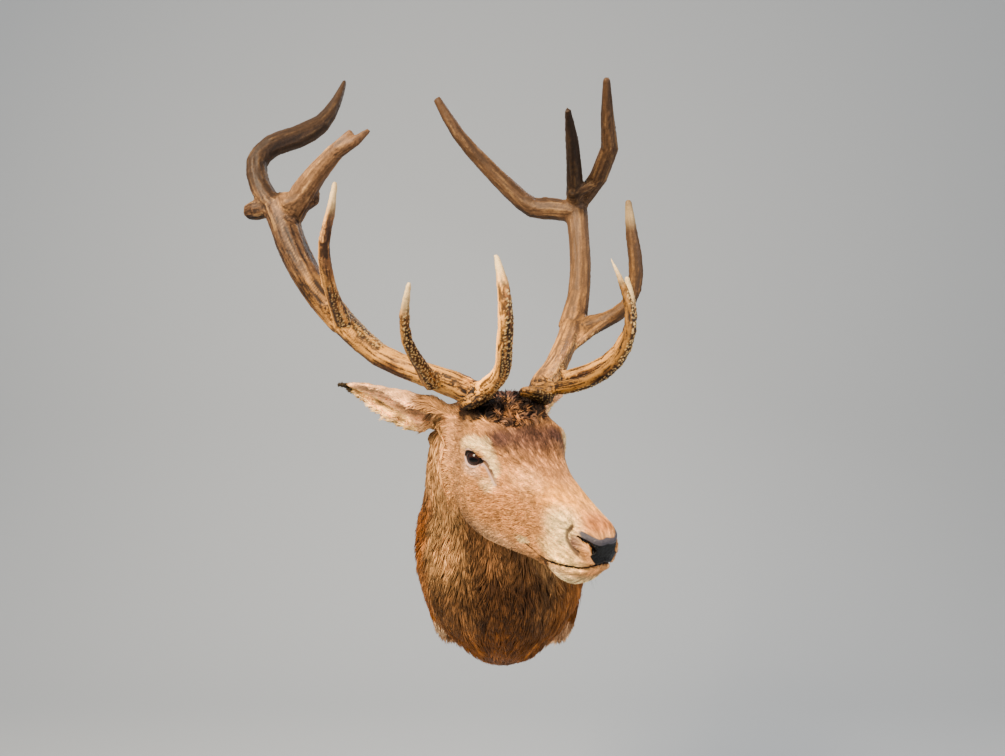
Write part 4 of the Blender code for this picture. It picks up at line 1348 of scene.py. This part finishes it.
def of_length(points, nodes, table, other):
    """The table's value for the length nearest to each point, softly joined at the forks."""
    total, weight = np.zeros(len(points)), np.zeros(len(points))
    for node in nodes:
        tree = place_tree(rings_of(node, 24))
        gap = np.array([tree.find(Vector(p))[2] for p in points])
        w = np.exp(-((gap / (14 * MM)) ** 2)) + 1e-9
        total += w * table.get(node.removeprefix("antler_"), other)
        weight += w
    return total / weight


def grow_antler(word, webs, material, rng):
    """One antler: its lengths grown together, grooved and pearled, then stained, worn and painted with light
    and shade.
    """
    nodes = [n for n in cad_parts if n.startswith(f"antler_{word}")]
    mesh = joined_skin([stout_node(n) for n in nodes] + webs, HORN_SWELL, HORN_CELL)
    points, edges = points_of(mesh), edges_of(mesh)
    foot = np.array(middle(f"antler_{word}_burr"))
    shift = faired(points, edges, 14) - points
    reach = np.linalg.norm(shift, axis=1)
    points = points + shift * np.minimum(1, 1.3 * MM / np.maximum(reach, 1e-9))[:, None]
    flare = ease(0.058, 0.040, apart(points, foot))[:, None]
    points = mix(points, spread(points, edges, 45), flare)
    set_points(mesh, points)
    rough_tree = place_tree(points)
    rough_way = length_direction(points, normals_of(mesh), edges)
    refine(mesh, apart(points, foot) < 0.19)
    smooth_where(mesh, np.ones(len(mesh.vertices)), 1)

    points, normals = points_of(mesh), normals_of(mesh)
    along = along_surface(rough_way[[rough_tree.find(Vector(p))[1] for p in points]], normals)
    from_foot = apart(points, foot)
    tips = [rings_of(n, 2)[1] for n in nodes if "tine" in n or "point" in n]
    from_tip = np.min([apart(points, tip) for tip in tips], axis=0)
    coarse = grain(points, along, 4.6 * MM, 42 * MM, 21)
    fine = grain(points, along, 2.0 * MM, 24 * MM, 22)
    mottle = lattice_noise(points, 2.2 * MM, 23) - 0.5
    smooth_tip = ease(0.012, 0.075, from_tip)
    groove = (0.6 * coarse + 0.75 * fine) * (0.25 + 0.75 * smooth_tip)

    patches = lattice_noise(points, 45 * MM, 31) - 0.5
    # Painted highlight as well as rubbing: paler on faces towards the lamp, that is towards -X, up and
    # forwards, the same on both antlers.
    rubbed_and_lit = -0.6 * normals[:, 0] + 0.45 * normals[:, 2] - 0.25 * normals[:, 1] + 1.1 * patches
    plain = of_length(points, nodes, PLAIN, 0.0)
    rubbed_and_lit = ease(-0.12, 0.42, rubbed_and_lit) * (1 - 0.6 * plain)
    # The side turned from the lamp, towards +X and down, takes the pearls and a dark ground.
    shaded = ease(0.0, 0.5, 0.9 * normals[:, 0] - 0.5 * normals[:, 2] + 0.5 * patches)
    beaded_and_shaded = ease(0.33, 0.20, from_foot) * smooth_tip * shaded * (1 - plain)
    taken = {}
    for i in rng.permutation(np.flatnonzero(beaded_and_shaded > 0.15)):
        taken.setdefault(tuple(np.floor(points[i] / PEARL_SPACING).astype(int)), i)
    pearls = place_tree(points[list(taken.values())])
    gap = np.full(len(points), 1.0)
    zone = np.flatnonzero(beaded_and_shaded > 0.1)
    gap[zone] = [pearls.find(Vector(points[i]))[2] for i in zone]
    pearl = np.exp(-((gap / PEARL_RADIUS) ** 2)) * np.sqrt(beaded_and_shaded)
    lift = groove * GROOVE_LIFT * (1 - 0.5 * beaded_and_shaded) + pearl * PEARL_LIFT + mottle * PIT_LIFT
    set_points(mesh, points + normals * (lift * MM)[:, None])

    low = ease(0.45, 0.15, from_foot)
    level = ease(-1.1, 0.8, groove + 0.8 * mottle)
    ridge = ease(0.7, 2.0, groove + 0.8 * mottle)
    stain, face, crest = (laid_over(evenly(high, points), (golden, low)) for high, golden in HORN_TONES)
    shade = mix(mix(stain, face, level[:, None]), crest, ridge[:, None])
    # Pale gold low down on the side towards the lamp: partly wear from rubbing, partly painted highlight.
    shade = laid_over(shade, ("f0a84c", low * rubbed_and_lit * (0.05 + 0.85 * level)), ("84603f", 0.55 * plain))
    # Painted shade on the downward faces of the lower lengths.
    under = 1 - 0.45 * low * ease(-0.1, 0.7, -normals[:, 2])
    shade = shade * (under * of_length(points, nodes, WEATHER_LIGHT_AND_SHADE, 1.0))[:, None]
    ivory = ease(0.058, 0.012, from_tip) * (0.55 + 0.45 * np.maximum(level, rubbed_and_lit))
    shade = laid_over(
        shade,
        # Dark ground round the pearls: partly stain, partly painted shade on the side turned from the lamp.
        ("241307", 0.85 * beaded_and_shaded * (1 - level * 0.3)),
        ("ecc078", np.clip(1.15 * pearl, 0, 0.9)),
        ("f0cc8e", ivory * ease(0.70, 0.60, points[:, 2])),
        ("120a05", ease(0.041, 0.027, from_foot) * (0.5 + 0.4 * (1 - level))),
    )
    paint(mesh, "horn", shade)
    antler = new_object(f"antler_{word}", mesh, material)
    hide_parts(*nodes)
    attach(antler, "root")


def antler_bone():
    """Weathered antler: dense bone of an even dullness, finely pored."""
    made, tree, shader = new_material("antler bone")
    place = add_node(tree, "ShaderNodeTexCoord").outputs["Object"]
    colour = add_node(tree, "ShaderNodeAttribute", {"attribute_name": "horn"}).outputs["Color"]
    pores = add_node(tree, "ShaderNodeTexNoise", Vector=place, Scale=1 / 0.0016, Detail=3.0)
    toned = worn_tone(tree, colour, pores, 0.75)
    bump = add_node(tree, "ShaderNodeBump", Strength=0.4, Distance=0.0006, Height=pores.outputs["Fac"])
    feed(shader, Base_Color=toned.outputs["Vector"], Roughness=0.55, Specular_IOR_Level=0.2)
    feed(shader, Normal=bump.outputs["Normal"])
    return made


bone = antler_bone()
right_webs = [
    fork("right_beam_upper", 0.12, "right_trez_tine", 0.12, 7),
    fork("right_top_tine", 0.06, "right_palm", 0.14, 8),
]
left_webs = [
    fork("left_palm", 0.22, "left_palm_point", 0.22, 9),
    fork("left_beam_upper", 0.78, "left_top_tine", 0.14, 10),
    fork("left_beam_lower", 0.68, "left_trez_tine", 0.18, 6),
]
grow_antler("right", right_webs, bone, np.random.default_rng(41))
grow_antler("left", left_webs, bone, np.random.default_rng(42))


# ------------------------------------------------------------- lashes and feeler hairs
# Stiff dark lashes stand along the upper lids, and long feeler hairs on the lips and chin.
# Each is a single tapering bristle, set one by one, so no two are quite the same length.


def planting_tree():
    """A node tree that sets a shape on each point, turned as the point says, and joins them."""
    tree = bpy.data.node_groups.new("planted on points", "GeometryNodeTree")
    for name, kind in (
        ("Points", "NodeSocketGeometry"), ("Shape", "NodeSocketObject"), ("Material", "NodeSocketMaterial"),
        ("Smallest", "NodeSocketFloat"), ("Largest", "NodeSocketFloat"), ("Seed", "NodeSocketInt"),
    ):
        tree.interface.new_socket(name, in_out="INPUT", socket_type=kind)
    tree.interface.new_socket("Mesh", in_out="OUTPUT", socket_type="NodeSocketGeometry")
    given = tree.nodes.new("NodeGroupInput").outputs
    shape = add_node(tree, "GeometryNodeObjectInfo", Object=given["Shape"]).outputs["Geometry"]
    turn = add_node(tree, "GeometryNodeInputNamedAttribute", {"data_type": "FLOAT_VECTOR"}, Name="turn")
    size = add_node(
        tree, "FunctionNodeRandomValue", {"data_type": "FLOAT"},
        in_2=given["Smallest"], in_3=given["Largest"], Seed=given["Seed"],
    )
    placed = add_node(
        tree, "GeometryNodeInstanceOnPoints",
        Points=given["Points"], Instance=shape, Rotation=turn.outputs["Attribute"], Scale=size.outputs[1],
    )
    joined = add_node(tree, "GeometryNodeRealizeInstances", Geometry=placed.outputs["Instances"])
    coated = add_node(
        tree, "GeometryNodeSetMaterial", Geometry=joined.outputs["Geometry"], Material=given["Material"]
    )
    tree.links.new(coated.outputs["Geometry"], tree.nodes.new("NodeGroupOutput").inputs["Mesh"])
    return tree


def planted(name, tree, places, outward, upward, shape, material, sizes, seed):
    """The shape set on every place, its Z along `outward` and its Y towards `upward`."""
    turns = []
    for out, up in zip(outward, upward):
        z = Vector(out).normalized()
        x = Vector(up).cross(z).normalized()
        turns.append(Matrix((x, z.cross(x), z)).transposed().to_euler())
    points = bpy.data.meshes.new("points")
    points.from_pydata([tuple(p) for p in places], [], [])
    layer = points.attributes.new("turn", "FLOAT_VECTOR", "POINT")
    layer.data.foreach_set("vector", np.array(turns, np.float32).ravel())
    holder, pattern = new_object("points", points, smooth=False), new_object("pattern", shape)
    planting = holder.modifiers.new("planting", "NODES")
    planting.node_group = tree
    slots = {item.name: item.identifier for item in tree.interface.items_tree if item.in_out == "INPUT"}
    for key, value in (
        ("Shape", pattern), ("Material", material),
        ("Smallest", sizes[0]), ("Largest", sizes[1]), ("Seed", seed),
    ):
        planting[slots[key]] = value
    mesh = plain_mesh(holder)
    bpy.data.objects.remove(pattern)
    piece = new_object(name, mesh)
    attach(piece, "root")
    return piece


def bridge(bm, low, high):
    """The faces between two rings with as many corners."""
    for i in range(len(low)):
        after = (i + 1) % len(low)
        bm.faces.new((low[i], low[after], high[after], high[i]))


def bristle(length, thick, bend):
    """One hair along Z that bends towards Y, three-sided, down to a point."""
    bm = bmesh.new()
    rings = []
    for share in (0, 0.35, 0.7):
        radius = thick / 2 * (1 - 0.7 * share) * MM
        middle_of = Vector((0, bend * share**2, length * share)) * MM
        corners = [(math.cos(a), math.sin(a), 0) for a in (0.5, 2.6, 4.7)]
        rings.append([bm.verts.new(middle_of + Vector(c) * radius) for c in corners])
    tip = bm.verts.new(Vector((0, bend, length)) * MM)
    bm.faces.new(rings[0][::-1])
    for low, high in zip(rings, rings[1:]):
        bridge(bm, low, high)
    for i in range(3):
        bm.faces.new((rings[2][i], rings[2][(i + 1) % 3], tip))
    return mesh_of(bm, "bristle")


def bristle_hair():
    """Coarse black-brown hair, waxier than the coat, paler and duller in 1 mm stretches."""
    made, tree, shader = new_material("bristle hair")
    place = add_node(tree, "ShaderNodeTexCoord").outputs["Object"]
    worn = add_node(tree, "ShaderNodeTexNoise", Vector=place, Scale=1 / 0.002)
    brown = add_node(
        tree, "ShaderNodeMix", {"data_type": "RGBA"},
        Factor=worn.outputs["Fac"], in_6=linear("080504"), in_7=linear("2c1c12"),
    )
    feed(shader, Base_Color=brown.outputs[2], Roughness=0.4)
    return made


LASHES_ON_LID = 30
# Where feeler hairs grow on the left side: two opposite corners of a block, and how many.
FEELER_BEDS = (((170, 22, -96), (226, 36, -74), 13), ((168, 4, -132), (226, 22, -108), 9))


def lash_roots(rng):
    """Roots on both upper lids, with the ways that the lashes stand and curl."""
    out, corner, up = eye_axes()
    places, stands, curls = [], [], []
    for side in (-1, 1):
        for s in np.linspace(-1.0, 0.85, LASHES_ON_LID):
            s += rng.uniform(-0.03, 0.03)
            height = (LID_RISE + 1.6) * max(0.05, 1 - min(1, abs(s)) ** 2.3) ** 0.5
            root = EYE_CENTRE + corner * (s * LID_HALF_LENGTH) + up * height + out * 15
            stand = out * 0.9 + up * rng.uniform(0.0, 0.3) - corner * 0.45 * (0.2 - s)
            turned = np.array((1, side, 1))
            places.append(nearest_skin(from_head([root * turned]))[0][0])
            stands.append(from_head(stand * turned) - HEAD_ORIGIN)
            curls.append(from_head(up * turned) - HEAD_ORIGIN)
    return places, stands, curls


def feeler_roots(rng):
    """Roots on the lips and the chin, where the hairs stand off forwards and sideways."""
    places, stands, curls = [], [], []
    for side in (-1, 1):
        for low, high, count in FEELER_BEDS:
            for _ in range(count):
                root = rng.uniform(low, high)
                place, facing = nearest_skin(from_head([root * (1, side, 1)]))
                places.append(place[0])
                ahead = from_head((0.5, side * 0.25, -0.5)) - HEAD_ORIGIN
                stands.append(facing[0] + ahead / MM * rng.uniform(0.3, 0.8))
                curls.append(Vector((0, 0, -1)))
    return places, stands, curls


planting = planting_tree()
bristles = bristle_hair()
bristle_rng = np.random.default_rng(71)
lashes = planted(
    "lashes", planting, *lash_roots(bristle_rng),
    bristle(length=8, thick=0.8, bend=2.5), bristles, sizes=(0.6, 1.1), seed=5,
)
feelers = planted(
    "feeler_hairs", planting, *feeler_roots(bristle_rng),
    bristle(length=16, thick=0.35, bend=3), bristles, sizes=(0.5, 1.1), seed=6,
)


# ------------------------------------------------------------------- the back of the mount
# A plywood board, sawn to the neck's outline, with a zinc-plated keyhole plate let into it
# by two screws. The cape's edge is turned in round the board and held by domed tacks.


def plywood():
    """Softwood plywood, sanded: seven plies of 2.6 mm, with 8 mm growth bands on its face."""
    made, tree, shader = new_material("sanded pine plywood")
    place = add_node(tree, "ShaderNodeTexCoord").outputs["Object"]
    split = add_node(tree, "ShaderNodeSeparateXYZ", Vector=place)
    across = add_node(tree, "ShaderNodeMapping", Vector=place, Scale=(1 / 0.008, 1.0, 1 / 0.30))
    wander = add_node(tree, "ShaderNodeTexNoise", Vector=across.outputs["Vector"], Scale=0.35, Detail=3.0)
    bands = add_node(
        tree, "ShaderNodeTexNoise", Vector=across.outputs["Vector"], Scale=1.0, Detail=5.0, Distortion=0.4,
    )
    fibre_at = add_node(tree, "ShaderNodeMapping", Vector=place, Scale=(1 / 0.0007, 1.0, 1 / 0.02))
    fibre = add_node(tree, "ShaderNodeTexNoise", Vector=fibre_at.outputs["Vector"], Scale=1.0, Detail=4.0)
    grain_of = add_node(
        tree, "ShaderNodeMath", {"operation": "MULTIPLY_ADD"},
        in_0=fibre.outputs["Fac"], in_1=0.35, in_2=bands.outputs["Fac"],
    )
    level = add_node(tree, "ShaderNodeMapRange", Value=grain_of.outputs[0], From_Min=0.5, From_Max=0.9)
    face = add_node(
        tree, "ShaderNodeMix", {"data_type": "RGBA"},
        Factor=level.outputs["Result"], in_6=linear("d9b074"), in_7=linear("a9733c"),
    )
    worn = add_node(
        tree, "ShaderNodeMix", {"data_type": "RGBA", "blend_type": "MULTIPLY"},
        Factor=0.35, in_6=face.outputs[2], in_7=wander.outputs["Fac"],
    )
    layer = add_node(tree, "ShaderNodeMath", {"operation": "PINGPONG"}, in_0=split.outputs["Y"], in_1=0.0026)
    dark = add_node(
        tree, "ShaderNodeMath", {"operation": "GREATER_THAN"}, in_0=layer.outputs[0], in_1=0.0013
    )
    plies = add_node(
        tree, "ShaderNodeMix", {"data_type": "RGBA"},
        Factor=dark.outputs[0], in_6=linear("c79a60"), in_7=linear("7d5530"),
    )
    at_rear = add_node(
        tree, "ShaderNodeMath", {"operation": "GREATER_THAN"}, in_0=split.outputs["Y"], in_1=-0.0002
    )
    either = add_node(
        tree, "ShaderNodeMix", {"data_type": "RGBA"},
        Factor=at_rear.outputs[0], in_6=plies.outputs[2], in_7=worn.outputs[2],
    )
    bump = add_node(tree, "ShaderNodeBump", Strength=0.4, Distance=0.0003, Height=grain_of.outputs[0])
    feed(shader, Base_Color=either.outputs[2], Roughness=0.7, Normal=bump.outputs["Normal"])
    return made


def zinc_steel():
    """Mild steel plated with bright zinc: brushed along its length, dulled in 6 mm patches."""
    made, tree, shader = new_material("zinc plated steel")
    place = add_node(tree, "ShaderNodeTexCoord").outputs["Object"]
    along = add_node(tree, "ShaderNodeMapping", Vector=place, Scale=(1 / 0.0004, 1 / 0.0004, 1 / 0.02))
    brushed = add_node(tree, "ShaderNodeTexNoise", Vector=along.outputs["Vector"], Scale=1.0, Detail=2.0)
    bloom = add_node(tree, "ShaderNodeTexNoise", Vector=place, Scale=1 / 0.006, Detail=3.0)
    zinc = add_node(
        tree, "ShaderNodeMix", {"data_type": "RGBA"},
        Factor=bloom.outputs["Fac"], in_6=linear("c9ccd0"), in_7=linear("8d9298"),
    )
    dull = add_node(
        tree, "ShaderNodeMapRange",
        Value=bloom.outputs["Fac"], From_Min=0.3, From_Max=0.7, To_Min=0.28, To_Max=0.5,
    )
    bump = add_node(tree, "ShaderNodeBump", Strength=0.3, Distance=0.0001, Height=brushed.outputs["Fac"])
    feed(shader, Base_Color=zinc.outputs[2], Metallic=1.0, Roughness=dull.outputs["Result"])
    feed(shader, Normal=bump.outputs["Normal"])
    return made


def circle(bm, radius, height, corners):
    """A ring of corners round Z, in millimetres."""
    turn = [2 * math.pi * i / corners for i in range(corners)]
    return [bm.verts.new(Vector((radius * math.cos(a), radius * math.sin(a), height)) * MM) for a in turn]


def tack():
    """A domed upholstery tack: a head 6 mm across and 0.8 mm high, its pin out of sight."""
    bm = bmesh.new()
    rings = [circle(bm, radius, height, 12) for radius, height in ((3.0, 0.0), (2.6, 0.45), (1.5, 0.8))]
    for low, high in zip(rings, rings[1:]):
        bridge(bm, low, high)
    bm.faces.new(rings[-1])
    bm.faces.new(rings[0][::-1])
    return mesh_of(bm, "tack")


def screw_head():
    """A countersunk head 7 mm across with a cross recess 1.2 mm deep."""
    bm = bmesh.new()
    edge, foot = circle(bm, 3.5, 0.25, 20), circle(bm, 3.1, -0.2, 20)
    cross = [(2.1, 0.45), (0.45, 0.45), (0.45, 2.1), (-0.45, 2.1), (-0.45, 0.45), (-2.1, 0.45)]
    cross += [(-x, -y) for x, y in cross]
    mouth, floor = ([bm.verts.new(Vector((x, y, z)) * MM) for x, y in cross] for z in (0.25, -0.95))
    bridge(bm, foot, edge)
    bridge(bm, mouth, floor)
    bm.faces.new(floor)
    bm.faces.new(foot[::-1])
    loops = [bm.edges.get(pair) for ring in (edge, mouth) for pair in zip(ring, ring[1:] + ring[:1])]
    bmesh.ops.triangle_fill(bm, edges=loops, use_beauty=True)
    bmesh.ops.recalc_face_normals(bm, faces=bm.faces)
    return mesh_of(bm, "screw")


TACKS, TACK_OUTSIDE, TACK_DEPTH = 28, 7 * MM, 1.6 * MM
SCREW_HEIGHTS, SCREW_DEPTH = (0.066, 0.114), 0.5 * MM


def tack_places():
    """Places round the board, just outside its edge, on the turned-in hide."""
    rim = np.array([v.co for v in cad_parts["back_board"].data.vertices])
    rim = rim[rim[:, 1] > -0.5 * MM][:, [0, 2]]
    centre = (rim.min(0) + rim.max(0)) / 2
    away = rim - centre
    away = away[np.linalg.norm(away, axis=1) > 0.09]
    turn = np.arctan2(away[:, 1], away[:, 0])
    order = turn.argsort()
    found = []
    for angle in np.linspace(-math.pi, math.pi, TACKS + 1)[:-1]:
        reach = np.interp(angle, turn[order], np.linalg.norm(away, axis=1)[order], period=2 * math.pi)
        x, z = centre + (reach + TACK_OUTSIDE) * np.array((math.cos(angle), math.sin(angle)))
        found.append((x, -TACK_DEPTH, z))
    return found


steel = zinc_steel()
for node, finish_of in (("back_board", plywood()), ("hanger_plate", steel)):
    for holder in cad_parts[node].material_slots:
        holder.material = finish_of
rear, upright = Vector((0, 1, 0)), Vector((0, 0, 1))
tacked = tack_places()
tacks = planted(
    "tacks", planting, tacked, [rear] * TACKS, [upright] * TACKS, tack(), steel, sizes=(0.96, 1.0), seed=7
)
screwed = [(0, -SCREW_DEPTH, height) for height in SCREW_HEIGHTS]
screws = planted(
    "hanger_screws", planting, screwed, [rear] * 2, [Vector((0.2, 0, 1)), upright],
    screw_head(), steel, sizes=(1.0, 1.0), seed=8,
)
